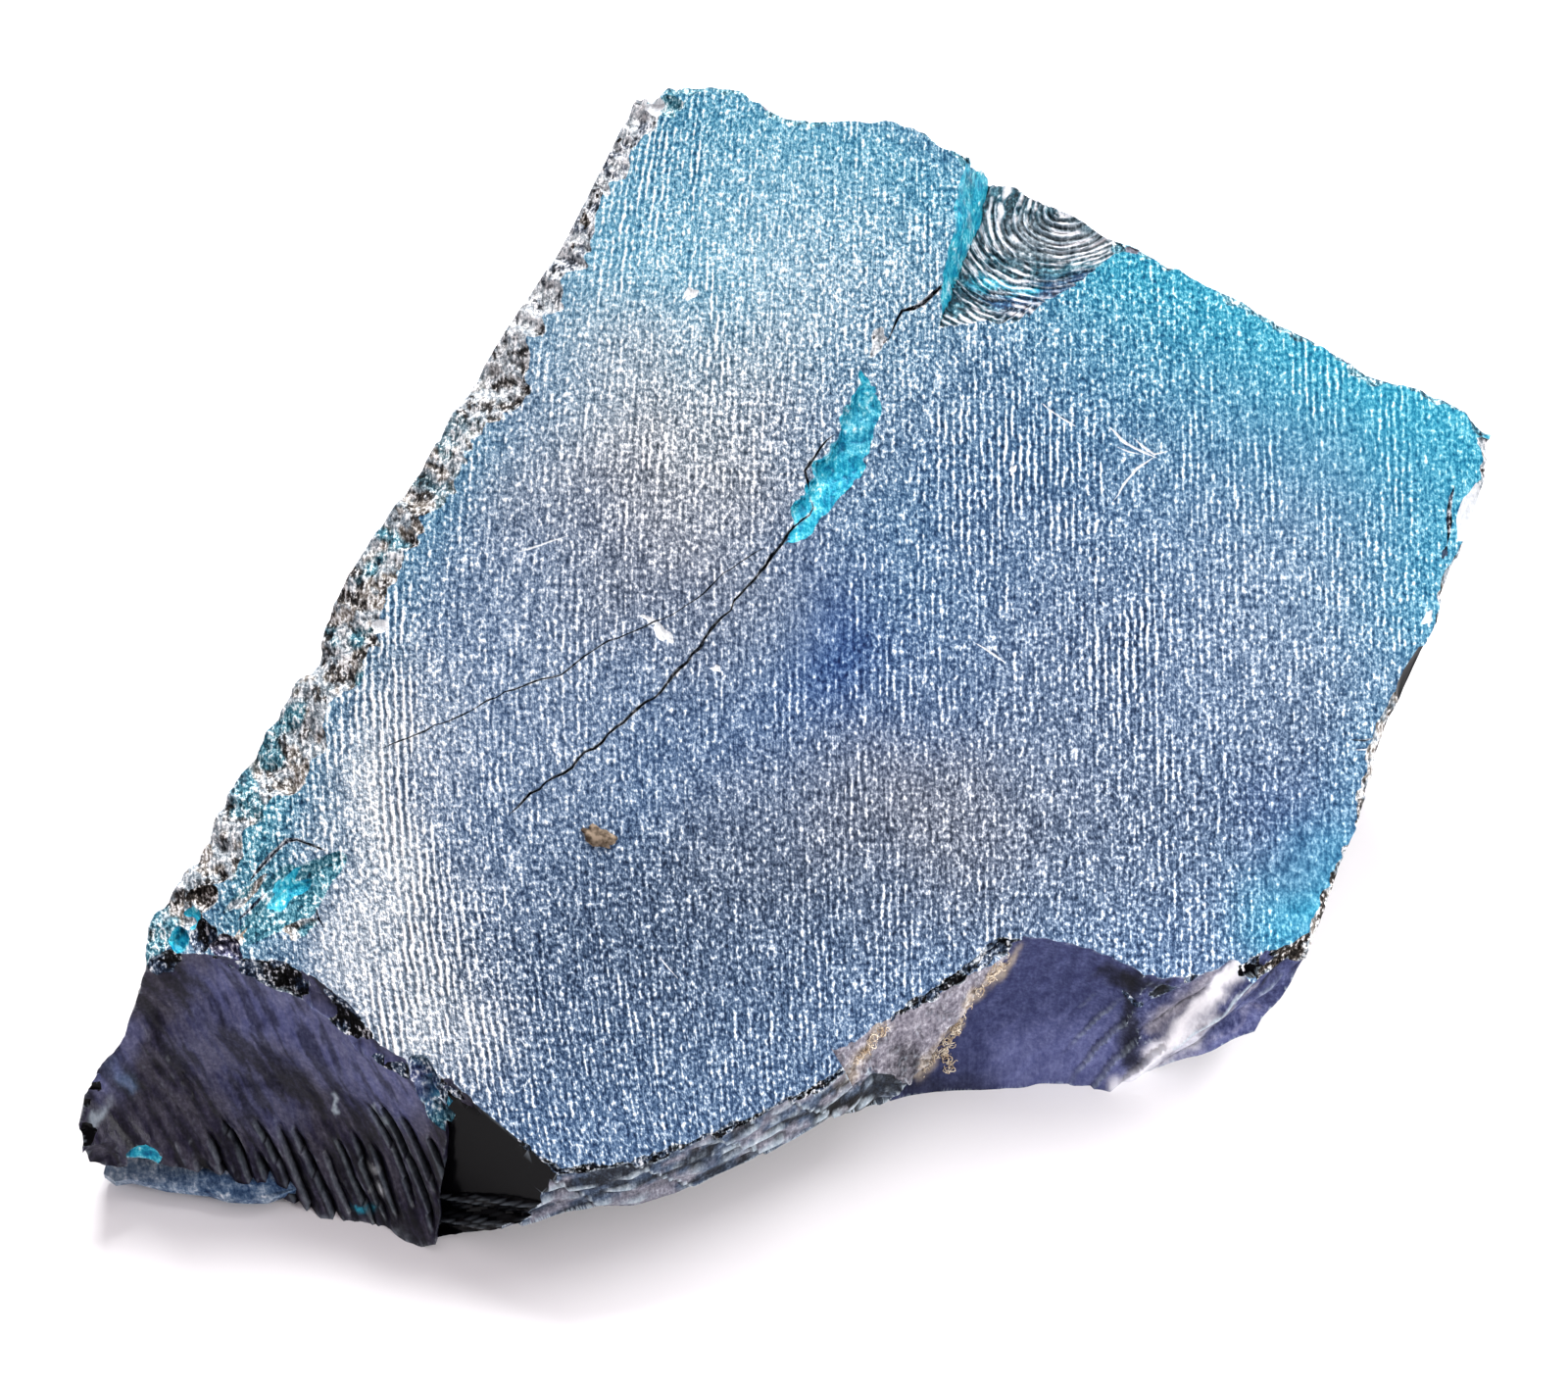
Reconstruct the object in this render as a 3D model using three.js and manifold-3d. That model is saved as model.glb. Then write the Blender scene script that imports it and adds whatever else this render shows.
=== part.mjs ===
// A lump of rough zircon, broken from a larger crystal and sawn flat on one side.
// It lies with the sawn face up, leaning toward the front. Millimetres, +Z up.
//
// The stone is carved in the frame of its sawn face: u runs right along the face, v up it,
// and w out of it, from 0 at the face. A block with its top at w = 0 is cut by one cutter for
// every fracture and chip. A cutter is a grid or a turned shell bent into the form of that
// surface, and closed into a solid that takes away all that lies outside it.
import * as THREE from 'three';
import { mergeVertices } from 'three/addons/utils/BufferGeometryUtils.js';
import Module from 'manifold-3d';

const wasm = await Module();
wasm.setup();

// Driving dimensions
const FACE_TILT = 26; // degrees that the sawn face leans toward the front
const FACE_ROLL = 4.9; // degrees that it leans to the right
const FACE_HEIGHT = 12.1; // from the table to the middle of the sawn face
const BLOCK = [56, 52, 40]; // the uncut block: along u, along v, and its depth
const CUTTER_DEPTH = 26; // how far each cutter reaches outside the stone

// Corners of the sawn face, [u, v]
const LEFT_CORNER = [-23.2, -10.2];
const TOP_CORNER = [-5.1, 22.1];
const RIGHT_CORNER = [26.45, 10.0];
const LOW_CORNER = [18.7, -11.5];
const FRONT_CORNER = [-8.2, -17.6];
const TIP = [-25.4, -17.3]; // the left tip lies below the sawn face

// The long edges of the sawn face, from corner to corner. Each rim is the broken line that
// the edge makes, as [distance along, offset outward].
const LEFT_EDGE = {
  from: LEFT_CORNER,
  to: TOP_CORNER,
  rim: [[0, 0.3], [1.3, 0.6], [3.1, 0.9], [5.2, 0.9], [7.3, 1.15], [10.6, 1], [13.9, 0.75],
    [16.5, 0.7], [19.5, 0.7], [21.8, 0.8], [23.8, 0.65], [26.2, 0.35], [30.7, 0.4],
    [33, 0.5], [37, 0.4]],
};
const TOP_EDGE = {
  from: TOP_CORNER,
  to: RIGHT_CORNER,
  rim: [[0, 0.4], [0.2, 1.2], [1, 1.6], [2.8, 2.2], [3.5, 1.95], [4.9, 1.8], [6.6, 2.4],
    [8.5, 3.2], [9.8, 3.25], [11.4, 2.95], [12.4, 2.6], [15.7, 2], [18, 1.7], [20.7, 2.05],
    [22.8, 1.65], [27, 1], [29.1, 0.6], [31.1, 0.85], [32.9, 0.75], [33.7, 0.3]],
};
const RIGHT_EDGE = {
  from: RIGHT_CORNER,
  to: LOW_CORNER,
  rim: [[0, 0.1], [0.5, 0.3], [1.7, 0.45], [2.9, 0.5], [7.1, 0.55], [9.3, 0.45], [11.2, 0.2],
    [12.6, -0.05], [13.8, 0.15], [15.7, 0.25], [17, 0.1], [22.8, 0.05]],
};

// Marks of the breaks
const GROOVE_PITCH = 0.85;
const GROOVE_DEPTH = 0.4;
const ARC_HEIGHT = 0.035;
const RIPPLE_PITCH = 0.75;
const RIPPLE_HEIGHT = 0.07;
const CHIP_STRUCK = [11.6, 19.3, -2.1]; // where the blow fell that took the rippled chip
const CRACK_WIDTH = 0.16;
const CRACK_DEPTH = 0.35;
const CRACK = [[6.4, 15.6], [4.4, 14.5], [3.8, 13.5], [3.4, 12], [2.6, 11.2], [1.8, 9.9],
  [0.7, 8.4], [1.1, 6.9], [0, 6], [-1.1, 4.3], [-2.9, 2.1], [-4.4, 0.2], [-6.5, -1.6],
  [-7.9, -2.9], [-9.4, -3.9], [-10.1, -4.6]];

// Small form helpers
const radians = THREE.MathUtils.degToRad;
const clamp = THREE.MathUtils.clamp;
const mix = THREE.MathUtils.lerp;
const hill = (x, y, across, along) => Math.exp(-((x / across) ** 2) - (y / along) ** 2);
const fraction = (x) => x - Math.floor(x);
const random = (n) => fraction(Math.sin(n * 12.9898 + 4.1) * 43758.5453);

/** 0 to 1 as x goes from start to end, with soft ends; start may be the larger. */
function smooth(start, end, x) {
  const share = clamp((x - start) / (end - start), 0, 1);
  return share * share * (3 - 2 * share);
}

/** Uneven ground: three crossing swells, within about one height either way. */
function swell(x, y, size, height) {
  const a = Math.sin((x * 1.1 + y * 0.4) / size + 0.7);
  const b = Math.sin((y * 1.3 - x * 0.5) / size + 2.1);
  const c = Math.sin((x * 2.3 + y * 1.9) / size + 4.0);
  return height * (0.5 * a + 0.4 * b + 0.25 * c);
}

/** Height of a broken line at x. Its points are [x, height], with x rising. */
function broken(points, x) {
  if (x <= points[0][0]) return points[0][1];
  for (let i = 1; i < points.length; i += 1) {
    const [x0, y0] = points[i - 1];
    const [x1, y1] = points[i];
    if (x <= x1) return mix(y0, y1, (x - x0) / (x1 - x0));
  }
  return points[points.length - 1][1];
}

function toSolid(geometry) {
  geometry.deleteAttribute('normal');
  geometry.deleteAttribute('uv');
  const merged = mergeVertices(geometry, 1e-4);
  return new wasm.Manifold(new wasm.Mesh({
    numProp: 3,
    vertProperties: Float32Array.from(merged.attributes.position.array),
    triVerts: Uint32Array.from(merged.index.array),
  }));
}

function toGeometry(solid) {
  const mesh = solid.getMesh();
  const geometry = new THREE.BufferGeometry();
  geometry.setAttribute('position', new THREE.BufferAttribute(mesh.vertProperties, 3));
  geometry.setIndex(new THREE.BufferAttribute(mesh.triVerts, 1));
  geometry.computeVertexNormals();
  return geometry;
}

/**
 * One cutter. Its sheet lies across `out`, the way out of the stone, with local x along
 * `along` and local y across both; relief(x, y) lifts it outward or, below 0, digs it in.
 */
function sheet({ at, out, along, half, cells, relief, reach = CUTTER_DEPTH, spread }) {
  const z = new THREE.Vector3(...out).normalize();
  const y = new THREE.Vector3().crossVectors(z, new THREE.Vector3(...along)).normalize();
  const x = new THREE.Vector3().crossVectors(y, z);
  const box = new THREE.BoxGeometry(2 * half[0], 2 * half[1], 2, cells[0], cells[1], 1);
  const place = box.attributes.position;
  for (let i = 0; i < place.count; i += 1) {
    const px = place.getX(i);
    const py = spread ? spread(place.getY(i)) : place.getY(i);
    place.setY(i, py);
    place.setZ(i, place.getZ(i) > 0 ? reach : relief(px, py));
  }
  box.applyMatrix4(new THREE.Matrix4().makeBasis(x, y, z).setPosition(...at));
  return toSolid(box);
}

/**
 * A shell-shaped cutter, round about the point struck: its form(r) is the height of the
 * scar over `at` at r from there, along `out`.
 */
function shell({ at, out, radius, form, steps, turns, reach = 8, stretch = 1 }) {
  const profile = [];
  for (let i = 0; i <= steps; i += 1) {
    const r = (radius * i) / steps;
    profile.push(new THREE.Vector2(r, form(r)));
  }
  profile.push(new THREE.Vector2(radius, reach), new THREE.Vector2(0, reach));
  const lathe = new THREE.LatheGeometry(profile, turns);
  const axis = new THREE.Vector3(...out).normalize();
  // the long way of a stretched scar lies level along the sawn face
  const long = new THREE.Vector3(-axis.y, axis.x, 0).normalize();
  const wide = new THREE.Vector3().crossVectors(long, axis);
  long.multiplyScalar(stretch);
  lathe.applyMatrix4(new THREE.Matrix4().makeBasis(long, axis, wide).setPosition(...at));
  return toSolid(lathe);
}

/** A shallow bowl, broken out about its middle. */
function dish({ at, out, radius, depth, turns = 9, steps = 3, reach = radius, stretch }) {
  const form = (r) => depth * ((r / radius) ** 2 - 1);
  return shell({ at, out, radius: radius * 1.35, form, steps, turns, reach, stretch });
}

/** A broad scar that opens from the point struck, with arcs around it. */
function conchoid({ struck, out, radius, depth }) {
  const arcs = (r) => ARC_HEIGHT * Math.sin(r * 2.4 + 1.6 * Math.sin(r * 0.8));
  const form = (r) => -depth * Math.sin((Math.PI * r) / radius) + arcs(r);
  return shell({
    at: struck, out, radius: radius * 1.2, form, steps: 22, turns: 32, reach: CUTTER_DEPTH,
  });
}

/** Flakes off an edge of the sawn face, each of its own length, width and lean. */
function edgeFlakes({ edge: { from, to, rim }, count, size, seed }) {
  const run = new THREE.Vector2(to[0] - from[0], to[1] - from[1]);
  const length = run.length();
  run.normalize();
  const flakes = [];
  for (let i = 0; i < count; i += 1) {
    const s = (length * (i + 0.1 + 0.8 * random(seed + i))) / count;
    const radius = size * mix(0.45, 1.25, random(seed + i + 40) ** 1.5);
    const lean = mix(0.75, 1.25, random(seed + i + 80));
    const sunk = 0.42 * radius;
    const back = broken(rim, s) - sunk * Math.cos(lean);
    flakes.push(dish({
      at: [
        from[0] + run.x * s - run.y * back,
        from[1] + run.y * s + run.x * back,
        -sunk * Math.sin(lean),
      ],
      out: [-run.y * Math.cos(lean), run.x * Math.cos(lean), Math.sin(lean)],
      radius, depth: radius * 0.2, stretch: mix(1, 2.2, random(seed + i + 120)),
    }));
  }
  return flakes;
}

/**
 * A side of the stone, from one corner to the next. Local x is measured from the side's
 * start, and depth down from the sawn face. `rim` is the broken line that the side makes at
 * the sawn face, and fades away below.
 */
function side({ from, to, rim, fade, body, cells, beyond = 14, deepest = 40 }) {
  const run = new THREE.Vector2(to[0] - from[0], to[1] - from[1]);
  const length = run.length();
  run.normalize();
  const middle = deepest / 2 - 2;
  return sheet({
    at: [(from[0] + to[0]) / 2, (from[1] + to[1]) / 2, -middle],
    out: [-run.y, run.x, 0],
    along: [run.x, run.y, 0],
    half: [length / 2 + beyond, deepest / 2],
    cells,
    // rows crowd toward the rim
    spread: (y) => {
      const share = (y + deepest / 2) / deepest;
      return deepest * share ** 1.7 - deepest / 2;
    },
    relief: (x, y) => {
      const s = x + length / 2;
      const depth = y + middle;
      return broken(rim, s) * Math.exp(-Math.max(depth, 0) / fade) + body(s, depth);
    },
  });
}

// The long sides of the sawn face
function leftSide() {
  return side({
    ...LEFT_EDGE, cells: [40, 11], fade: 1.6,
    body: (s, depth) => {
      const lean = -0.2 * Math.max(depth - 1, 0);
      return lean + swell(s, depth, 4, 0.35) * smooth(1, 6, depth);
    },
  });
}

function topSide() {
  return side({
    ...TOP_EDGE, cells: [48, 12], fade: 4,
    body: (s, depth) => {
      const lean = -0.34 * Math.max(depth - 2, 0) + 0.008 * depth * depth;
      const brow = 1.5 * hill(s - 15.5, depth - 3, 4.2, 2.6);
      return lean + brow + swell(s, depth, 4.5, 0.4) * smooth(1, 6, depth);
    },
  });
}

function rightSide() {
  return side({
    ...RIGHT_EDGE, cells: [26, 11], fade: 4,
    body: (s, depth) => {
      const lean = -0.18 * Math.max(depth - 1, 0);
      return lean + swell(s, depth, 4, 0.3) * smooth(1, 6, depth);
    },
  });
}

/** The left tip, below and left of the sawn face. */
function tipSide() {
  return side({
    from: TIP, to: LEFT_CORNER, cells: [24, 8], fade: 100,
    rim: [[-4, -2.2], [0, 0], [1.3, 0.35], [2.6, 0.75], [3.5, 0.65], [4.8, 0], [7.5, 0],
      [12, 1.2]],
    body: (s, depth) => 0.35 * hill(s - 1.5, depth - 3.6, 1.2, 0.9)
      - 0.1 * Math.max(depth - 4, 0) + swell(s, depth, 0.8, 0.08),
  });
}

/** The large dark fracture at the left front, a saddle combed by torn grooves. */
function saddle() {
  const combed = (x, y) => {
    const reachOf = smooth(-3.4, -1.6, x) * smooth(5.8, 4.4, x) * smooth(-0.6, -2.6, y);
    const tooth = Math.abs(fraction(x / GROOVE_PITCH + 0.12 * Math.sin(y)) - 0.5) * 2;
    return -GROOVE_DEPTH * reachOf * (1 - tooth);
  };
  return sheet({
    at: [-18.7, -15.0, -2.7], out: [-0.266, -0.627, 0.7315], along: [0.93, 0.37, 0],
    half: [11, 11], cells: [56, 20],
    relief: (x, y) => {
      const form = -1.1 + 0.042 * (x - 1.2) ** 2 + 0.02 * y * y;
      const swellings = 0.6 * hill(x + 0.6, y + 4.6, 2.6, 2.6)
        + 0.45 * hill(x - 4.6, y - 1.6, 1.8, 1.8);
      const crease = 0.25 * hill(x - 3 + y * 1.1, 0, 1.4, 1) * smooth(-4, 1, y);
      const knob = 0.5 * hill(x + 6.6, y + 0.6, 1.1, 1.3);
      return form + swellings + crease + knob + combed(x, y) + swell(x, y, 1.7, 0.08);
    },
  });
}

/** The notch at the front corner: a dark flat facet, a ribbed foot and a wall at its left. */
function notch() {
  const facet = sheet({
    at: [-10.85, -16.65, -1.2], out: [-0.5, -0.62, 0.6], along: [0.79, -0.61, 0],
    half: [9, 9], cells: [1, 1], relief: () => 0,
  });
  const foot = sheet({
    at: [-11, -18.7, -3.25], out: [-0.56, -0.33, 0.76], along: [1, 0, 0.7],
    half: [7, 7], cells: [7, 44],
    relief: (x, y) => 0.16 * Math.sin((2 * Math.PI * (y + 0.1 * x)) / 0.9) + swell(x, y, 1, 0.08),
  });
  const wall = sheet({
    at: [-12.3, -17, -2.5], out: [0.98, -0.15, 0.1], along: [0, 1, 0],
    half: [9, 9], cells: [12, 12], relief: (x, y) => swell(x, y, 0.8, 0.1),
  });
  return facet.intersect(foot).intersect(wall);
}

/** The bevel of long flake scars under the front edge. */
function frontBevel() {
  const flake = (s, depth) => 0.22 * (fraction(s / 3.1 + depth * 0.22) - 0.5);
  return side({
    from: [5.3, -11.3], to: FRONT_CORNER, cells: [44, 8], fade: 30, beyond: 3, deepest: 14,
    rim: [[-4, 3.4], [0.3, 1.9], [1.8, 1.4], [2.8, 0.8], [4, 1.1], [5.6, 1.25], [8.8, 1.25],
      [10.3, 1.15], [12.6, 0.9], [13.9, 0.4], [14.9, 0], [18, -0.5]],
    body: (s, depth) => 0.5 * depth + flake(s, depth) + swell(s * 0.5, depth * 2, 0.7, 0.06),
  });
}

/** The flat ledge at the right end of the bevel. */
function ledge() {
  return sheet({
    at: [5.85, -11.7, -0.6], out: [0.33, -0.6, 0.73], along: [0.82, 0.57, 0],
    half: [4.2, 6], cells: [14, 18], relief: (x, y) => swell(x, y, 0.6, 0.06),
  });
}

/** The hollow at the right front, matt and broad, that runs in under the ledge. */
function scoop() {
  const hollow = sheet({
    at: [9.4, -12.2, -3.64], out: [-0.034, -0.784, 0.619], along: [1, 0, 0],
    half: [9, 9], cells: [28, 20],
    relief: (x, y) => -0.85 + 0.05 * (x - 0.2) ** 2 + 0.02 * y * y + 0.5 * smooth(-1, -5, y)
      + swell(x, y, 1.3, 0.06),
  });
  const underLedge = sheet({
    at: [6.6, -12.0, -1.6], out: [0.78, -0.4, -0.48], along: [0, 1, 0],
    half: [9, 9], cells: [18, 6],
    relief: (x, y) => 0.3 * swell(x, y, 0.35, 0.5) + 0.02 * y * y,
  });
  return hollow.intersect(underLedge);
}

/** Rounded lobes between the hollow and the low corner. */
function lobes() {
  return sheet({
    at: [15.6, -11.9, -2.4], out: [0.05, -0.84, 0.54], along: [1, 0.05, 0],
    half: [8, 8], cells: [26, 22],
    relief: (x, y) => {
      const ridge = 0.75 * hill(x * 0.72 - y * 0.62 + 0.3, 0, 0.75, 1);
      const dent = -0.5 * hill(x - 1.8, y + 0.6, 1.3, 1.0);
      return -0.1 + ridge + dent + swell(x, y, 0.9, 0.12);
    },
  });
}

/** The rippled chip in the top edge, with a step down its left. */
function topChip() {
  const floor = shell({
    at: CHIP_STRUCK, out: [-0.2, 0.35, 0.91], radius: 8, steps: 43, turns: 48,
    form: (r) => 0.35 - 0.3 * smooth(0, 3, r) + 0.018 * r * r
      + RIPPLE_HEIGHT * Math.sin((2 * Math.PI * r) / RIPPLE_PITCH),
  });
  const step = sheet({
    at: [6.75, 17.6, -1], out: [0.96, -0.12, 0.28], along: [0, 1, 0],
    half: [8, 8], cells: [26, 20], relief: (x, y) => swell(x, y, 0.6, 0.12),
  });
  return floor.intersect(step);
}

/** The fresh flake out of the crack, steep at its left and feathering out at its right. */
function flakePit() {
  const floor = sheet({
    at: [2.3, 9.2, -0.35], out: [-0.24, 0.08, 0.97], along: [0.5, 0.87, 0],
    half: [5, 4], cells: [20, 16],
    relief: (x, y) => 0.03 * x * x + 0.07 * y * y + swell(x, y, 0.5, 0.06),
  });
  const crackWall = sheet({
    at: [1.75, 9.4, -0.3], out: [0.85, -0.42, 0.3], along: [0.45, 0.89, 0],
    half: [5, 3], cells: [24, 4], relief: (x) => swell(x, 0, 0.35, 0.22),
  });
  return floor.intersect(crackWall);
}

/** The crack across the sawn face: a narrow groove along its broken line. */
function crack() {
  const outline = new THREE.Shape();
  const half = CRACK_WIDTH / 2;
  CRACK.forEach(([u, v], i) => (i ? outline.lineTo(u + half, v) : outline.moveTo(u + half, v)));
  [...CRACK].reverse().forEach(([u, v]) => outline.lineTo(u - half, v));
  outline.closePath();
  const groove = new THREE.ExtrudeGeometry(outline, { depth: 1, bevelEnabled: false });
  groove.translate(0, 0, -CRACK_DEPTH);
  return toSolid(groove);
}

/** Broad scars on the sides that stand behind and beside the sawn face. */
function sideScars() {
  return [
    conchoid({ struck: [-21, -2, 0.5], out: [-0.8, 0.4, -0.42], radius: 14, depth: 1.5 }),
    conchoid({ struck: [-12, 14, 0.5], out: [-0.8, 0.46, -0.36], radius: 17, depth: 2 }),
    conchoid({ struck: [-4, 25, 0], out: [0.1, 0.93, -0.36], radius: 12, depth: 1.6 }),
    conchoid({ struck: [21.5, 15, 0], out: [0.42, 0.83, -0.38], radius: 13, depth: 1.6 }),
    conchoid({ struck: [25.8, 3, 0.5], out: [0.88, -0.28, -0.38], radius: 14, depth: 1.4 }),
  ];
}

/** The few narrow chips in the right edge. */
function rightChips() {
  const chip = (u, v, radius, stretch) => dish({
    at: [u, v, -0.45], out: [0.72, -0.26, 0.64], radius, depth: radius * 0.22, stretch,
  });
  return [chip(25.7, 7, 0.9, 2), chip(24.9, 4.6, 0.6, 1.6), chip(23.4, 0.6, 1.1, 2.1),
    chip(22.4, -1.5, 0.7, 1.5)];
}

function carve(solid, cutters) {
  return cutters.reduce((stone, cutter) => stone.subtract(cutter), solid);
}

/** The stone in the frame of its sawn face. */
function carvedOnFace() {
  const block = new THREE.BoxGeometry(...BLOCK);
  block.translate(0.5, 2, -BLOCK[2] / 2);
  return carve(toSolid(block), [
    leftSide(), topSide(), rightSide(), tipSide(), saddle(), notch(), frontBevel(),
    ledge(), scoop(), lobes(), topChip(), flakePit(), crack(), ...sideScars(),
    ...rightChips(),
    ...edgeFlakes({ edge: LEFT_EDGE, count: 22, size: 1.9, seed: 3 }),
    ...edgeFlakes({ edge: TOP_EDGE, count: 14, size: 0.8, seed: 21 }),
  ]);
}

/** Hollows under the stone, in the frame that it lies in. */
function undersides() {
  const tip = sheet({
    at: [-22, -15, 1.4], out: [-0.28, -0.23, -0.93], along: [1, 0, 0], half: [9, 12],
    cells: [14, 18], relief: (x, y) => -0.15 + 0.01 * x * x + swell(x, y, 1.4, 0.12),
  });
  const front = sheet({
    at: [-3, -14.6, 3.1], out: [0.12, -0.6, -0.8], along: [0.95, 0.3, 0], half: [14, 9],
    cells: [36, 14],
    relief: (x, y) => {
      const ends = 0.75 * Math.max(0, -4.6 - x) + 0.8 * Math.max(0, x - 7);
      return -0.1 + ends + 0.012 * y * y + swell(x, y, 1.5, 0.12);
    },
  });
  const lobe = sheet({
    at: [16.6, -9.6, 1.7], out: [0.47, -0.3, -0.83], along: [1, 0, 0], half: [12, 14],
    cells: [18, 20], relief: (x, y) => -0.2 + 0.012 * x * x + swell(x, y, 1.5, 0.14),
  });
  const right = sheet({
    at: [22, 4, 5], out: [0.62, 0.1, -0.78], along: [0, 1, 0], half: [22, 14],
    cells: [24, 12], relief: (x, y) => -1 + 0.006 * x * x + swell(x, y, 2.6, 0.3),
  });
  const back = sheet({
    at: [2, 21, 4], out: [0.1, 0.75, -0.66], along: [1, 0, 0], half: [30, 13],
    cells: [30, 12], relief: (x, y) => -1 + 0.01 * (x - 4) ** 2 + swell(x, y, 3, 0.3),
  });
  const left = dish({
    at: [-15.5, 7, 2], out: [-0.72, 0.3, -0.62], radius: 14, depth: 2.2, turns: 40, steps: 14,
    reach: CUTTER_DEPTH,
  });
  return [tip, front, lobe, right, back, left];
}

/** The stone as it lies, cut flat where it rests. */
function standing() {
  const geometry = toGeometry(carvedOnFace());
  geometry.applyMatrix4(new THREE.Matrix4().makeRotationFromEuler(
    new THREE.Euler(radians(FACE_TILT), radians(FACE_ROLL), 0),
  ));
  geometry.translate(0, 0, FACE_HEIGHT);
  const table = new THREE.BoxGeometry(140, 140, 40);
  table.translate(0, 0, -20);
  return carve(toSolid(geometry), [toSolid(table), ...undersides()]);
}

const stone = toGeometry(standing());
stone.computeBoundingBox();
const middle = stone.boundingBox.getCenter(new THREE.Vector3());

const zircon = new THREE.Mesh(stone, new THREE.MeshStandardMaterial({
  color: '#5d7391', roughness: 0.5, metalness: 0,
}));
zircon.name = 'rough_zircon';
zircon.position.set(-middle.x, -middle.y, 0);

const group = new THREE.Group();
group.add(zircon);
export default group;
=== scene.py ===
"""A lump of rough zircon, sawn flat on one side and broken all round, on a pale floor.

The stone is carved in the frame of its sawn face, in millimetres: u runs right along the
face, v up it, and w out of it, from 0 at the face. A block is cut by one cutter for every
fracture and chip. Each cutter marks what it cuts with the kind of surface it leaves, and
the finish of the stone is worked out from that. The finished mesh is then turned and set
down in the row frame, in metres.
"""
import math

import bmesh
import bpy
import numpy as np
from bpy.props import FloatProperty, FloatVectorProperty, PointerProperty
from bpy.types import Operator, Panel, PropertyGroup
from mathutils import Matrix, Vector


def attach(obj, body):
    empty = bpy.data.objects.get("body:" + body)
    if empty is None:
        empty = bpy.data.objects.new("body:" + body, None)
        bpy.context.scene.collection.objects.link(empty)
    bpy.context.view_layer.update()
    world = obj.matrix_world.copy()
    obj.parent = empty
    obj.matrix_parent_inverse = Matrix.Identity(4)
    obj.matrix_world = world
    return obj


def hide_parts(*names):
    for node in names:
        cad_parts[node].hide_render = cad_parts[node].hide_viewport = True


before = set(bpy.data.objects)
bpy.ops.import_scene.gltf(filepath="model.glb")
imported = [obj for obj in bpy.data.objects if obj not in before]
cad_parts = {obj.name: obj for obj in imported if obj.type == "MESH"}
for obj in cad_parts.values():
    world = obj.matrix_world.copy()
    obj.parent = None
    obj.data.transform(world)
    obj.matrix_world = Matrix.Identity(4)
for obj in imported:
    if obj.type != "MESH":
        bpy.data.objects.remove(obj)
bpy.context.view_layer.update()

bl_info = {
    "name": "Rough zircon",
    "version": (1, 0, 0),
    "blender": (4, 5, 0),
    "location": "3D View > Sidebar > Zircon",
    "description": "A sawn and broken lump of rough zircon on a pale floor",
    "category": "Mesh",
}

MM = 0.001  # one millimetre in metres

# The stone's place, as in the solid that it replaces
FACE_TILT = 26.0  # degrees that the sawn face leans toward the front
FACE_ROLL = 4.9  # degrees that it leans to the right
FACE_HEIGHT = 12.1  # from the floor to the middle of the sawn face
MIDDLE = (0.342, 3.155)  # where the middle of the stone falls, before it is centred
BLOCK_LOW = (-28, -24, -40)  # the uncut block, in the frame of the sawn face
BLOCK_HIGH = (29, 28, 1)
REACH = 26.0  # how far each cutter reaches outside the stone
TUBE_STEP, TUBE_SIDES = 0.12, 10  # how finely each kind of cutter is divided
GROOVE_STEP = 0.35
BAND_CELL = 0.11
FACE_HALF, FACE_MIDDLE = 31, 2  # half the width of the saw's cut, and its middle along v
GROUND = 70  # half the width of the cut that leaves the flat under the stone
SHARP_ANGLE = 28  # degrees, above which an edge of the finished mesh stays sharp

# Corners of the sawn face, (u, v)
LEFT_CORNER = (-23.2, -10.2)
TOP_CORNER = (-5.1, 22.1)
RIGHT_CORNER = (26.45, 10)
LOW_CORNER = (18.7, -11.5)
FRONT_CORNER = (-8.2, -17.6)
TIP = (-25.4, -17.3)

# Rims of the long edges: (distance along, offset outward)
LEFT_RIM = (
    (0, 0.6), (1.3, 0.9), (3.1, 1.1), (5.2, 0.8), (7.3, 0.75), (10.6, 0.6), (13.9, 0.65),
    (16.5, 0.9), (18, 0.7), (20, 0.35), (21.8, 0.3), (23.8, 0.4), (26.2, 0.2), (28, 0.1),
    (30.7, -0.2), (33, 0), (35, 0.2), (37, 0.4),
)
TOP_RIM = (
    (0, 0.4), (0.2, 1.2), (1, 1.6), (2.8, 2.2), (3.5, 1.95), (4.9, 1.8), (6.6, 2.4),
    (8.5, 3.2), (9.8, 3.25), (11.4, 2.95), (12.4, 2.6), (15.7, 2), (18, 1.75), (20.7, 2.15),
    (22.8, 1.8), (27, 1.2), (29.1, 0.85), (31.1, 1.1), (32.9, 0.95), (33.7, 0.4),
)
RIGHT_RIM = (
    (0, 0.35), (0.5, 0.55), (1.7, 0.65), (2.9, 0.65), (7.1, 0.6), (9.3, 0.45), (11.2, 0.25),
    (12.6, 0.05), (13.8, 0.2), (15.7, 0.25), (17, 0.1), (22.8, 0.05),
)
TIP_RIM = (
    (-4, -2.2), (0, 0), (1.3, 0.35), (2.6, 0.75), (3.5, 0.65), (4.8, 0), (7.5, 0), (12, 1.2),
)
BEVEL_RIM = (
    (-4, 3.4), (0.3, 1.9), (1.8, 1.4), (2.8, 0.8), (4, 1.1), (5.6, 1.25), (8.8, 1.25),
    (10.3, 1.15), (12.6, 0.9), (13.9, 0.4), (14.9, 0), (18, -0.5),
)
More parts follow.
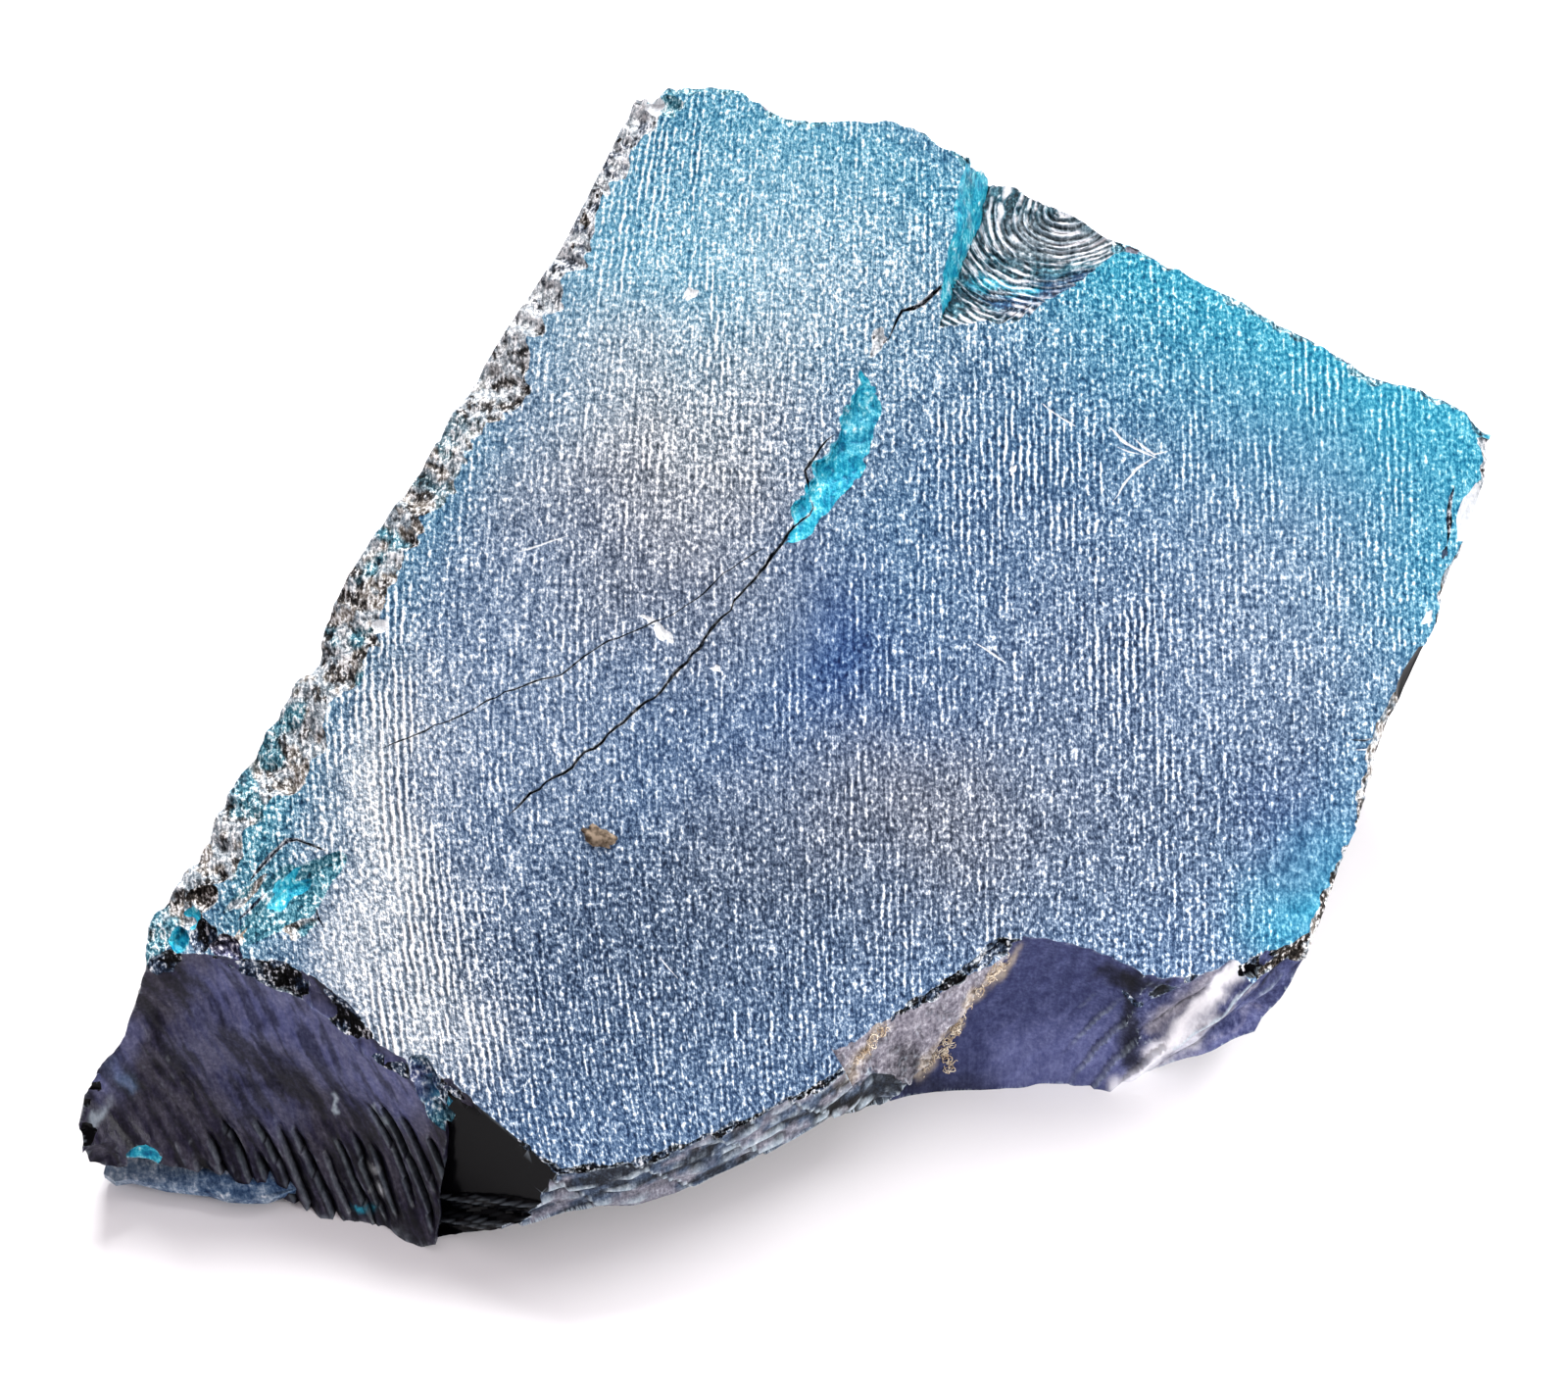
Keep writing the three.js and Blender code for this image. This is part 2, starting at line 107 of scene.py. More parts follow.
# Lines on the sawn face, as runs of (u, v)
CRACK = (
    (6.4, 15.6), (4.4, 14.5), (3.8, 13.5), (3.4, 12), (2.6, 11.2), (1.8, 9.9), (0.7, 8.4),
    (1.1, 6.9), (0, 6), (-1.1, 4.3), (-2.9, 2.1), (-4.4, 0.2), (-6.5, -1.6), (-7.9, -2.9),
    (-9.4, -3.9), (-10.1, -4.6),
)
HAIR_CRACK = (
    (-0.7, 5.4), (-2.1, 4.5), (-3.6, 3.2), (-6.4, 1.9), (-8.2, 0.7), (-9.8, 0.1),
    (-11.6, -0.8), (-13.3, -1.6), (-14.8, -2.3),
)
SCRATCHES = (
    ((12.2, 10.5), (12.9, 9.6), (14.1, 9.1)),
    ((14, 9.2), (13.3, 8.7), (12.9, 8.2), (12.3, 7.4)),
    ((12.5, 9.5), (13.5, 9.3)), ((13.2, 10), (13.9, 9.3), (14.5, 9.4)),
    ((9.6, 11.2), (10.3, 10.7), (11.1, 10.2)), ((-9.9, 5.2), (-7.9, 5.9)),
    ((7.1, 2.1), (8.3, 1.2)), ((-4.8, -9.6), (-3.9, -10.6)), ((21.2, -1.9), (22.3, -1.7)),
)
SPLITS = (
    ((-19.6, -7), (-18.8, -6.4), (-18, -5.6), (-17.3, -5.9), (-16.7, -6)),
    ((-19.9, -8.6), (-19.2, -7.9), (-18.7, -7.2)),
    ((-17.2, -8.1), (-16.7, -8.8)),
    ((25.6, 8.2), (25.3, 7.5), (25.15, 6.9), (25.15, 6)), ((21.3, -1.6), (22.2, -1.4)),
)
CHIP_STRUCK = (11.2, 19.3, -1.8)  # where the blow fell that took the rippled chip
FRONT_RIM = (
    (-23.1, -10.3), (-19.9, -10.2), (-18.2, -10.4), (-16.4, -11.5), (-15, -13.2),
    (-13.2, -14.3), (-12.1, -14.6), (-10.7, -16), (-8.2, -17.6), (-5.7, -17.4), (-3.6, -16.7),
    (-0.7, -15.5), (2.1, -14), (3.6, -12.4), (5, -11.3), (6.7, -10.2), (8, -9.2), (9.4, -9.3),
    (11.2, -10), (12.7, -10.7), (14.5, -10.9), (16, -10.5), (17.8, -9.6), (19.3, -9.2),
)
# The underside behind the front edge: (distance along, offset outward)
UNDER_FRONT = (
    (-14, 3.4), (-10.5, 2.4), (-7.7, 1.5), (-5, 1.15), (-2.6, 1.45), (-1, 1.26), (1.3, 0.56),
    (3.5, 0), (5.5, -0.35), (7, -0.15), (14, 5.4),
)
# The thin ledge under the tip, as it lies: its outline (x, y) and where it is from the floor
TIP_LEDGE = (
    (-25.35, -13.9), (-24.9, -14.25), (-24.3, -14.15), (-23.7, -14.3), (-23, -14.5),
    (-22.2, -14.6), (-21.4, -14.7), (-20.7, -14.95), (-20, -15), (-19.2, -15),
    (-18, -14.5), (-18.5, -13), (-24.4, -12.6), (-25.3, -13.5),
)
TIP_LEDGE_HEIGHTS = (0.45, 0.8)

# Kinds of surface that the cutters leave
(
    SAWN, GLASSY, MATT, BLACK, FRESH, PALE, RIPPLED, SLIVER, LIGHT, CHIPPED, WHITE, BEIGE, TEAL,
    LEDGE, DARK, GRITTY,
) = range(16)


# ---- Form helpers
def hill(x, y, across, along):
    """A round hill of height 1."""
    return np.exp(-((x / across) ** 2) - (y / along) ** 2)


def fraction(x):
    """What is left of x above the whole number below it."""
    return x - np.floor(x)


def random(n):
    """A fixed random number from 0 to 1 for each n."""
    return fraction(np.sin(n * 12.9898 + 4.1) * 43758.5453)


def mix(low, high, share):
    """Between low and high."""
    return low + (high - low) * share


def smooth(start, end, x):
    """0 to 1 as x goes from start to end, with soft ends; start may be the larger."""
    share = np.clip((x - start) / (end - start), 0, 1)
    return share * share * (3 - 2 * share)


def broken(points, x):
    """Height of a broken line at x. Its points are (x, height), with x rising."""
    return np.interp(x, [p[0] for p in points], [p[1] for p in points])


def swell(x, y, size, height):
    """Uneven ground: three crossing swells, within about one height either way."""
    a = np.sin((x * 1.1 + y * 0.4) / size + 0.7)
    b = np.sin((y * 1.3 - x * 0.5) / size + 2.1)
    c = np.sin((x * 2.3 + y * 1.9) / size + 4)
    return height * (0.5 * a + 0.4 * b + 0.25 * c)


def lattice(x, y, seed):
    """A fixed random number from 0 to 1 for each whole-numbered point."""
    return fraction(np.sin(x * 127.1 + y * 311.7 + seed * 74.7) * 43758.5453)


def grain(x, y, size, seed=1, octaves=3):
    """Rough ground from about -1 to 1: random heights a size apart, then finer ones."""
    total = 0
    for octave in range(octaves):
        px, py = x * 2**octave / size, y * 2**octave / size
        cx, cy = np.floor(px), np.floor(py)
        fx, fy = smooth(0, 1, px - cx), smooth(0, 1, py - cy)
        low = mix(lattice(cx, cy, seed), lattice(cx + 1, cy, seed), fx)
        high = mix(lattice(cx, cy + 1, seed), lattice(cx + 1, cy + 1, seed), fx)
        total = total + (mix(low, high, fy) - 0.5) * 2 / 2**octave
    return total


def bowls(x, y, places, share):
    """Ground broken into shallow bowls, which meet in ridges. places are (x, y, radius)."""
    ground = np.zeros_like(x)
    for px, py, radius in places:
        near = ((x - px) ** 2 + (y - py) ** 2) / radius**2
        ground = np.minimum(ground, share * radius * (near - 1))
    return ground


# ---- Solids
def new_mesh(name, points, faces=()):
    """A mesh of points and faces."""
    mesh = bpy.data.meshes.new(name)
    mesh.from_pydata(points, [], faces)
    return mesh


def placed(name, data):
    """A new object in the scene."""
    made = bpy.data.objects.new(name, data)
    bpy.context.scene.collection.objects.link(made)
    return made


def read(items, field, width=1, dtype=np.float32):
    """One field of a mesh's points, edges, corners or faces, as an array."""
    values = np.empty(len(items) * width, dtype)
    items.foreach_get(field, values)
    return values.reshape(-1, width) if width > 1 else values


def solid(name, points, faces, kind):
    """A closed mesh object whose faces all carry one kind of surface."""
    mesh = new_mesh(name, points, faces)
    marks = mesh.attributes.new("kind", "INT", "FACE")
    marks.data.foreach_set("value", [kind] * len(mesh.polygons))
    return placed(name, mesh)


def basis(out, along):
    """Columns x, y, z of a cutter's own frame: z out of the stone, x along `along`."""
    z = Vector(out).normalized()
    y = z.cross(Vector(along)).normalized()
    return np.array([y.cross(z), y, z]).T


def edge(start, end):
    """The length of an edge from one corner to the next, and the way that it runs."""
    run = Vector(np.subtract(end, start))
    return run.length, run.normalized()


def walk(path):
    """The length of a broken line, and a function for the point (u, v) at s along it."""
    path = np.array(path, float)
    marks = np.concatenate([[0], np.cumsum(np.hypot(*np.diff(path, axis=0).T))])
    return marks[-1], lambda s: (np.interp(s, marks, path[:, 0]), np.interp(s, marks, path[:, 1]))


def between(rings, sides, first=0):
    """The faces between rings of points, which are numbered ring after ring from the first."""
    low = first + np.arange(sides) + sides * np.arange(rings - 1)[:, None]
    ahead = np.roll(low, -1, axis=1)
    return np.stack([low, ahead, ahead + sides, low + sides], -1).reshape(-1, 4)


def sheet(at, out, along, half, cells, relief, kind, reach=REACH, spread=None):
    """One cutter. Its sheet lies across `out`, with `half` its size either side of `at`, and is
    divided into cells; relief(x, y) lifts it, or digs in below 0."""
    x, y = np.meshgrid(*[np.linspace(-h, h, count + 1) for h, count in zip(half, cells)])
    if spread:
        x, y = spread(x, y)
    front = np.stack([x, y, relief(x, y)], -1).reshape(-1, 3)
    number = np.arange(x.size).reshape(x.shape)
    quads = np.stack(
        [number[:-1, :-1], number[1:, :-1], number[1:, 1:], number[:-1, 1:]], -1
    ).reshape(-1, 4)
    ring = np.concatenate(
        [number[0, :-1], number[:-1, -1], number[-1, :0:-1], number[:0:-1, 0]]
    )
    back = front[ring]
    back[:, 2] = reach
    raised = np.arange(len(ring)) + x.size
    walls = np.stack([ring, np.roll(ring, -1), np.roll(raised, -1), raised], -1)
    points = np.concatenate([front, back]) @ basis(out, along).T + np.array(at)
    faces = quads.tolist() + walls.tolist() + [raised.tolist()]
    return solid("cutter", points.tolist(), faces, kind)


def shell(at, out, radius, form, steps, turns, kind, reach=8, stretch=1, long=None):
    """A turned cutter: form(r, turn) is its height over `at` at r from there. Its long way,
    in which it is stretched, lies level along the sawn face where none is given."""
    r = np.linspace(0, radius, steps + 1)[1:]
    turn = np.arange(turns) * 2 * math.pi / turns
    rr, tt = np.meshgrid(r, turn, indexing="ij")
    rings = np.stack([rr * np.cos(tt), rr * np.sin(tt), form(rr, tt)], -1)
    top = rings[-1].copy()
    top[:, 2] = reach
    middle = np.array([[0, 0, float(form(np.zeros(1), np.zeros(1))[0])]])
    points = np.concatenate([middle, rings.reshape(-1, 3), top])
    faces = [[0, 1 + (k + 1) % turns, 1 + k] for k in range(turns)]
    faces += between(steps + 1, turns, 1).tolist()
    faces.append([1 + steps * turns + k for k in range(turns)])
    axis = Vector(out).normalized()
    way = Vector(long or (-axis.y, axis.x, 0))
    way = (way - axis * way.dot(axis)).normalized()
    turned = np.array([np.array(way) * stretch, axis.cross(way), axis])
    return solid("cutter", (points @ turned + np.array(at)).tolist(), faces, kind)


def dish(at, out, radius, depth, kind, turns=20, steps=6, stretch=1, seed=0, long=None):
    """A shallow bowl, broken out about its middle, with an uneven floor and outline."""
    def form(r, turn):
        uneven = 0.3 * np.sin(3 * turn + seed) + 0.25 * np.sin(5 * turn + 2.3 * seed)
        ring = 0.06 * np.sin(r * 9 / radius + seed)
        return depth * ((r / radius) ** 2 - 1 + (uneven + ring) * r / radius)
    return shell(
        at, out, radius * 1.35, form, steps, turns, kind, max(radius, 0.6), stretch, long
    )


def tube(path, radius, kind):
    """A tube along a broken line (u, v) on the sawn face; radius(s, turn) is its size."""
    length, place = walk(path)
    s = np.arange(0, length, TUBE_STEP)
    u, v = place(s)
    soften = np.ones(5) / 5
    du = np.convolve(np.gradient(np.pad(u, 2, "edge")), soften, "valid")
    dv = np.convolve(np.gradient(np.pad(v, 2, "edge")), soften, "valid")
    size = np.hypot(du, dv)
    turn = np.arange(TUBE_SIDES) * 2 * math.pi / TUBE_SIDES
    ss, tt = np.meshgrid(s, turn, indexing="ij")
    r = radius(ss, tt)
    points = np.stack([
        u[:, None] - (dv / size)[:, None] * r * np.cos(tt),
        v[:, None] + (du / size)[:, None] * r * np.cos(tt),
        r * np.sin(tt),
    ], -1).reshape(-1, 3)
    last = len(points) - TUBE_SIDES
    ends = [list(range(TUBE_SIDES))[::-1], list(range(last, len(points)))]
    return solid("cutter", points.tolist(), between(len(s), TUBE_SIDES).tolist() + ends, kind)


def groove(path, width, depth, kind, wander, seed):
    """A narrow groove along a broken line on the sawn face, uneven as a crack is."""
    length, place = walk(path)
    s = np.linspace(0, length, max(3, int(length / GROOVE_STEP)))
    u, v = place(s)
    du, dv = np.gradient(u), np.gradient(v)
    size = np.hypot(du, dv)
    nu, nv = -dv / size, du / size
    off = wander * grain(s, s * 0, 0.7, seed)
    u, v = u + nu * off, v + nv * off
    share = np.minimum(1, np.minimum(s, length - s) / 0.8 + 0.15)
    half = width / 2 * share * (1 + 0.45 * grain(s, s * 0 + 9, 0.5, seed))
    half = np.maximum(half, width * 0.08)
    # its section: how far across, and how high, with the depth below the face fading at the ends
    section = ((-1, 0.5), (1, 0.5), (1, 0), (0, -depth * share), (-1, 0))
    points = np.stack([
        np.stack([u + nu * half * x, v + nv * half * x, np.zeros_like(u) + z], -1)
        for x, z in section
    ], 1).reshape(-1, 3)
    sides = len(section)
    walls = between(len(s), sides)[:, [0, 3, 2, 1]].tolist()
    ends = [list(range(sides)), list(range(len(points) - sides, len(points)))[::-1]]
    return solid("cutter", points.tolist(), walls + ends, kind)


# ---- The sawn face
def saw_bend(s, v):
    """How far a saw mark, s across the face, has bent sideways at v: they curve at the left."""
    return 0.0055 * smooth(8, -14, s) * (v - 2.5) ** 2


def saw_line(u, v):
    """Across which saw mark the point (u, v) lies, counted in millimetres along u."""
    s = u
    for _ in range(4):
        s = u - saw_bend(s, v)
    return s


def sawn_face(pitch, depth):
    """The flat of the saw, with its marks standing as low ridges."""
    def relief(x, y):
        y = y + FACE_MIDDLE
        s = saw_line(x, y)
        mark = 0.5 + 0.5 * np.cos(2 * math.pi * s / pitch)
        worn = 0.55 + 0.45 * grain(s * 2.5, y * 0.4, 4, 3, 2)
        torn = grain(s * 5, y, 1.6, 5, 2)
        return depth * (mark * worn + 0.35 * torn) - depth * 0.5

    return sheet(
        at=(0, FACE_MIDDLE, 0), out=(0, 0, 1), along=(1, 0, 0), half=(FACE_HALF, 27),
        cells=(round(2 * FACE_HALF / pitch * 3), 60),
        relief=relief, kind=SAWN, reach=3,
        spread=lambda x, y: (x + saw_bend(x, y + FACE_MIDDLE), y),
    )


def side(start, end, rim, fade, body, cells, kind, beyond=14, deepest=40, lift=0):
    """A side of the stone, from one corner to the next. s runs along it and depth goes down
    from the sawn face; rim is its broken line there, which fades away below."""
    length, run = edge(start, end)
    middle = deepest / 2 - 2

    def relief(x, y):
        s, depth = x + length / 2, y + middle
        return broken(rim, s) * np.exp(-np.maximum(depth, 0) / fade) + body(s, depth) + lift

    def spread(x, y):
        share = (y + deepest / 2) / deepest
        return x, deepest * share**1.7 - deepest / 2

    return sheet(
        at=((start[0] + end[0]) / 2, (start[1] + end[1]) / 2, -middle),
        out=(-run.y, run.x, 0), along=(run.x, run.y, 0),
        half=(length / 2 + beyond, deepest / 2), cells=cells, relief=relief, kind=kind,
        spread=spread,
    )


def left_side():
    """The left side, which is plain just under the rim."""
    def body(s, depth):
        lean = -0.2 * np.maximum(depth - 1, 0)
        uneven = swell(s, depth, 4, 0.35) * smooth(1, 6, depth)
        return lean + uneven + 0.06 * grain(s, depth, 1.1, 2) * smooth(0.2, 1.5, depth)
    return side(LEFT_CORNER, TOP_CORNER, LEFT_RIM, 1.6, body, (190, 50), GLASSY, lift=0.4)


def top_side():
    """The side at the back, with a brow that stands out."""
    def body(s, depth):
        lean = -0.34 * np.maximum(depth - 2, 0) + 0.008 * depth * depth
        brow = 2.5 * hill(s - 14.2, depth - 3, 5.2, 2.6) * smooth(10.6, 13, s)
        uneven = swell(s, depth, 4.5, 0.4) * smooth(1, 6, depth)
        return lean + brow + uneven + 0.07 * grain(s, depth, 1.3, 4)
    return side(TOP_CORNER, RIGHT_CORNER, TOP_RIM, 4, body, (190, 50), GLASSY)


def right_side():
    """The right side."""
    def body(s, depth):
        lean = -0.18 * np.maximum(depth - 1, 0)
        uneven = swell(s, depth, 4, 0.3) * smooth(1, 6, depth)
        return lean + uneven + 0.05 * grain(s, depth, 1.2, 6)
    return side(RIGHT_CORNER, LOW_CORNER, RIGHT_RIM, 4, body, (130, 50), GLASSY)


def tip_side():
    """The short side at the tip, with a knuckle."""
    def body(s, depth):
        knuckle = 0.35 * hill(s - 1.5, depth - 3.6, 1.2, 0.9)
        lean = -0.1 * np.maximum(depth - 4, 0)
        return knuckle + lean + swell(s, depth, 0.8, 0.08) + 0.06 * grain(s, depth, 0.6, 8)
    return side(TIP, LEFT_CORNER, TIP_RIM, 100, body, (150, 60), GLASSY)


# ---- The front
# The saddle's middle, the way that it faces and the way that it runs
SADDLE_AT = (-18.7, -15, -2.7)
SADDLE_OUT = (-0.266, -0.627, 0.7315)
SADDLE_ALONG = (0.93, 0.37, 0)
GROOVES_LEFT, GROOVES_WIDTH = -3.5, 10.5  # where the torn grooves lie across the saddle


def torn_grooves(x, y, pitch, depth):
    """Lens-shaped tears that comb the lower half of the dark fracture."""
    ground = np.zeros_like(x)
    for i in range(round(GROOVES_WIDTH / pitch)):
        centre = GROOVES_LEFT + pitch * (i + 0.5 + 0.35 * (random(i + 5) - 0.5))
        high = mix(-0.2, -2.6, random(i + 31))
        low = mix(-5.2, -7, random(i + 57))
        width = mix(0.1, 0.22, random(i + 77))
        lane = x - centre + mix(0.1, 0.19, random(i + 91)) * (y + 4) + 0.04 * np.sin(y * 1.7 + i)
        along = smooth(high, high - 1.2, y) * smooth(low, low + 1.4, y)
        cut = np.clip((1 - lane / (width * (0.3 + 0.7 * along))) / 2, 0, 1)
        cut = cut * (np.abs(lane) < width)
        ground = np.minimum(ground, -depth * mix(0.6, 1.2, random(i + 13)) * along * cut)
    return ground


def saddle(pitch, depth):
    """The large dark fracture at the left front, a saddle combed by torn grooves."""
    def relief(x, y):
        form = -1.1 + 0.042 * (x - 1.2) ** 2 + 0.02 * y * y
        form = form - 0.55 * smooth(2.6, 4.6, y) * smooth(2.2, -1, x)
        swellings = 0.6 * hill(x + 0.6, y + 4.6, 2.6, 2.6) + 0.45 * hill(x - 4.6, y - 1.6, 1.8, 1.8)
        crease = 0.25 * hill(x - 3 + y * 1.1, 0, 1.4, 1) * smooth(-4, 1, y)
        knob = 0.5 * hill(x + 6.6, y + 0.6, 1.1, 1.3)
        streaks = 0.1 * grain(x * 3 + y, y * 0.5, 1.4, 9, 3) * smooth(4, -1.5, x + 0.6 * y)
        lines = -0.035 * smooth(0.35, 0.9, np.abs(np.sin((x + 0.1 * y) * 7 + np.sin(y))))
        lines = lines * smooth(-7, -5.5, x) * smooth(-2.2, -3.6, x) * smooth(5.5, 2, y)
        uneven = swell(x, y, 1.7, 0.13) + 0.05 * grain(x, y, 0.8, 12)
        torn = torn_grooves(x, y, pitch, depth)
        return form + swellings + crease + knob + streaks + lines + uneven + torn

    def spread(x, y):
        return x - 0.14 * (y + 4), y

    return sheet(
        at=SADDLE_AT, out=SADDLE_OUT, along=SADDLE_ALONG, half=(10.5, 9.5), cells=(230, 150),
        relief=relief, kind=GLASSY, spread=spread,
    )


def meet(first, *others):
    """What several cutters have in common, as one cutter."""
    for other in others:
        combine(first, [other], "INTERSECT")
    return first


def notch():
    """The notch at the front corner: a dark flat facet, a ribbed foot and a wall at its left."""
    facet = sheet(
        at=(-10.85, -16.65, -1.2), out=(-0.5, -0.62, 0.6), along=(0.79, -0.61, 0), half=(9, 9),
        cells=(40, 40), relief=lambda x, y: 0.006 * grain(x, y, 1.5, 3), kind=BLACK,
    )

    def ribs(x, y):
        wave = 0.16 * np.sin((2 * math.pi * (y + 0.1 * x)) / 0.9)
        fine = 0.05 * np.sin((2 * math.pi * (y + 0.16 * x)) / 0.31 + np.sin(x))
        return wave + fine + swell(x, y, 1, 0.08)

    foot = sheet(
        at=(-11, -18.7, -3.25), out=(-0.56, -0.33, 0.76), along=(1, 0, 0.7), half=(7, 7),
        cells=(40, 150), relief=ribs, kind=BLACK,
    )
    wall = sheet(
        at=(-12.3, -17, -2.5), out=(0.98, -0.15, 0.1), along=(0, 1, 0), half=(9, 9),
        cells=(60, 60), relief=lambda x, y: swell(x, y, 0.8, 0.1) + 0.06 * grain(x, y, 0.7, 4),
        kind=GLASSY,
    )
    return meet(facet, foot, wall)


def front_bevel():
    """The bevel of long flake scars under the front edge."""
    def body(s, depth):
        flake = 0.22 * (fraction(s / 3.1 + depth * 0.22) - 0.5)
        wander = 0.5 * grain(s, depth, 2.5, 16, 2)
        splinter = 0.32 * np.abs(fraction(depth * 1.1 + s * 0.22 + wander) - 0.5)
        fine = 0.09 * grain(s * 0.7 + depth * 1.2, depth * 5, 1.1, 15)
        return 0.5 * depth + flake + splinter * smooth(0, 0.8, depth) + fine
    return side(
        (5.3, -11.3), FRONT_CORNER, BEVEL_RIM, 30, body, (230, 60), SLIVER, beyond=3, deepest=14,
    )


def ledge():
    """The flat ledge at the right end of the bevel, gritty, with a ragged right edge."""
    def relief(x, y):
        pits = -0.09 * smooth(0.35, 0.8, grain(x, y, 0.35, 22, 2))
        return swell(x, y, 0.6, 0.06) + 0.05 * grain(x, y, 0.5, 21) + pits
    return sheet(
        at=(5.85, -11.7, -0.6), out=(0.33, -0.6, 0.73), along=(0.82, 0.57, 0), half=(4.2, 6),
        cells=(90, 120), relief=relief, kind=GRITTY,
    )


def scoop():
    """The hollow at the right front, matt and broad, that runs in under the ledge."""
    def relief(x, y):
        form = -0.85 + 0.05 * (x - 0.2) ** 2 + 0.02 * y * y + 0.5 * smooth(-1, -5, y)
        foot = 0.75 * hill(x, 0, 2.6, 1) * smooth(-0.5, -3.8, y)
        arcs = 0.03 * np.sin(np.hypot(x + 3, y - 4) * 7 + 2 * grain(x, y, 2, 26, 2))
        steps = 0.16 * fraction((x * 0.9 - y * 0.4) * 1.3) * smooth(2.2, 4, x) * smooth(3.5, 0, y)
        return form + foot + arcs - steps + swell(x, y, 1.3, 0.06) + 0.03 * grain(x, y, 0.9, 25)
    hollow = sheet(
        at=(8.3, -12.2, -3.64), out=(-0.034, -0.784, 0.619), along=(1, 0, 0), half=(9, 9),
        cells=(140, 110), relief=relief, kind=MATT,
    )
    under = sheet(
        at=(6.2, -12, -1.6), out=(0.8, -0.36, -0.48), along=(0, 1, 0), half=(9, 9),
        cells=(130, 50), kind=MATT,
        relief=lambda x, y: 0.3 * swell(x, y, 0.35, 0.5) + 0.02 * y * y
        + 0.1 * grain(x, y, 0.35, 27),
    )
    return meet(hollow, under)


def lobes():
    """Rounded lobes between the hollow and the low corner."""
    def relief(x, y):
        ridge = 0.95 * np.maximum(0, 1 - np.abs(x * 0.72 - y * 0.62 + 0.3) / 0.9) ** 1.2
        dent = -0.5 * hill(x - 1.8, y + 0.6, 1.3, 1)
        hollow = -0.35 * hill(x * 0.72 - y * 0.62 - 1.5, 0, 0.5, 1)
        rolls = 0.06 * np.sin((x * 0.72 - y * 0.62) * 8 + 0.8 * np.sin(y * 1.5))
        rim = -0.45 * smooth(1.4, 2.6, y) * smooth(0.2, 1.2, x)
        return (
            -0.1 + rim + ridge + dent + hollow + rolls + swell(x, y, 0.9, 0.12)
            + 0.02 * grain(x, y, 0.5, 31)
        )
    return sheet(
        at=(15.6, -11.9, -2.4), out=(0.05, -0.84, 0.54), along=(1, 0.05, 0), half=(8, 8),
        cells=(150, 110), relief=relief, kind=LIGHT,
    )


# ---- Chips in the sawn face
def top_chip(pitch, height):
    """The rippled chip in the top edge, with a bright step down its left."""
    def form(r, turn):
        x, y = r * np.cos(turn), r * np.sin(turn)
        wander = 0.16 * grain(x, y, 1.6, 17, 2) + 0.06 * np.sin(turn * 3)
        ring = 2 * math.pi * (r + wander) / pitch
        wave = np.abs(np.sin(ring / 2)) ** 0.6
        wave = wave + 0.35 * np.sin(ring * 1.6 + 2 * grain(x, y, 1, 18, 1))
        uneven = 0.5 + 0.7 * np.clip(grain(x, y, 1.3, 19, 2) + 0.5, 0, 1)
        return 0.3 - 0.25 * smooth(0, 2.5, r) + 0.035 * r * r - height * wave * uneven
    floor = shell(
        at=CHIP_STRUCK, out=(-0.38, 0.31, 0.87), radius=7.5, form=form, steps=130, turns=170,
        kind=RIPPLED,
    )
    step = sheet(
        at=(6.8, 17.6, -1), out=(0.9, -0.16, 0.4), along=(0, 1, 0), half=(8, 8),
        cells=(110, 60), kind=FRESH,
        relief=lambda x, y: swell(x, y, 0.6, 0.12) + 0.08 * grain(x, y * 2, 0.5, 35),
    )
    return meet(floor, step)


def second_ripples():
    """A smaller rippled scar at the foot of the first."""
    def form(r, turn):
        ring = 2 * math.pi * (r + 0.08 * np.sin(turn * 5) + 0.05 * np.sin(turn * 11)) / 0.27
        return -0.34 + 0.1 * r * r + 0.04 * np.sin(ring + 0.7 * np.sin(ring))
    return shell(
        at=(7.9, 15.6, 0), out=(0.05, 0.12, 0.99), radius=2.6, form=form, steps=50, turns=90,
        kind=RIPPLED, reach=2,
    )


def flake_pit():
    """The fresh flake out of the crack, steep at its left and feathering out at its right."""
    floor = sheet(
        at=(2.3, 9.3, -0.29), out=(-0.24, 0.08, 0.97), along=(0.5, 0.87, 0), half=(5, 4),
        cells=(100, 80), kind=FRESH,
        relief=lambda x, y: 0.03 * x * x + 0.07 * y * y + swell(x, y, 0.5, 0.06)
        + 0.03 * grain(x, y, 0.3, 41),
    )
    crack_wall = sheet(
        at=(1.75, 9.4, -0.3), out=(0.85, -0.42, 0.3), along=(0.45, 0.89, 0), half=(5, 3),
        cells=(120, 20), kind=FRESH,
        relief=lambda x, y: swell(x, x * 0, 0.35, 0.22) + 0.08 * grain(x, y, 0.3, 43),
    )
    return meet(floor, crack_wall)


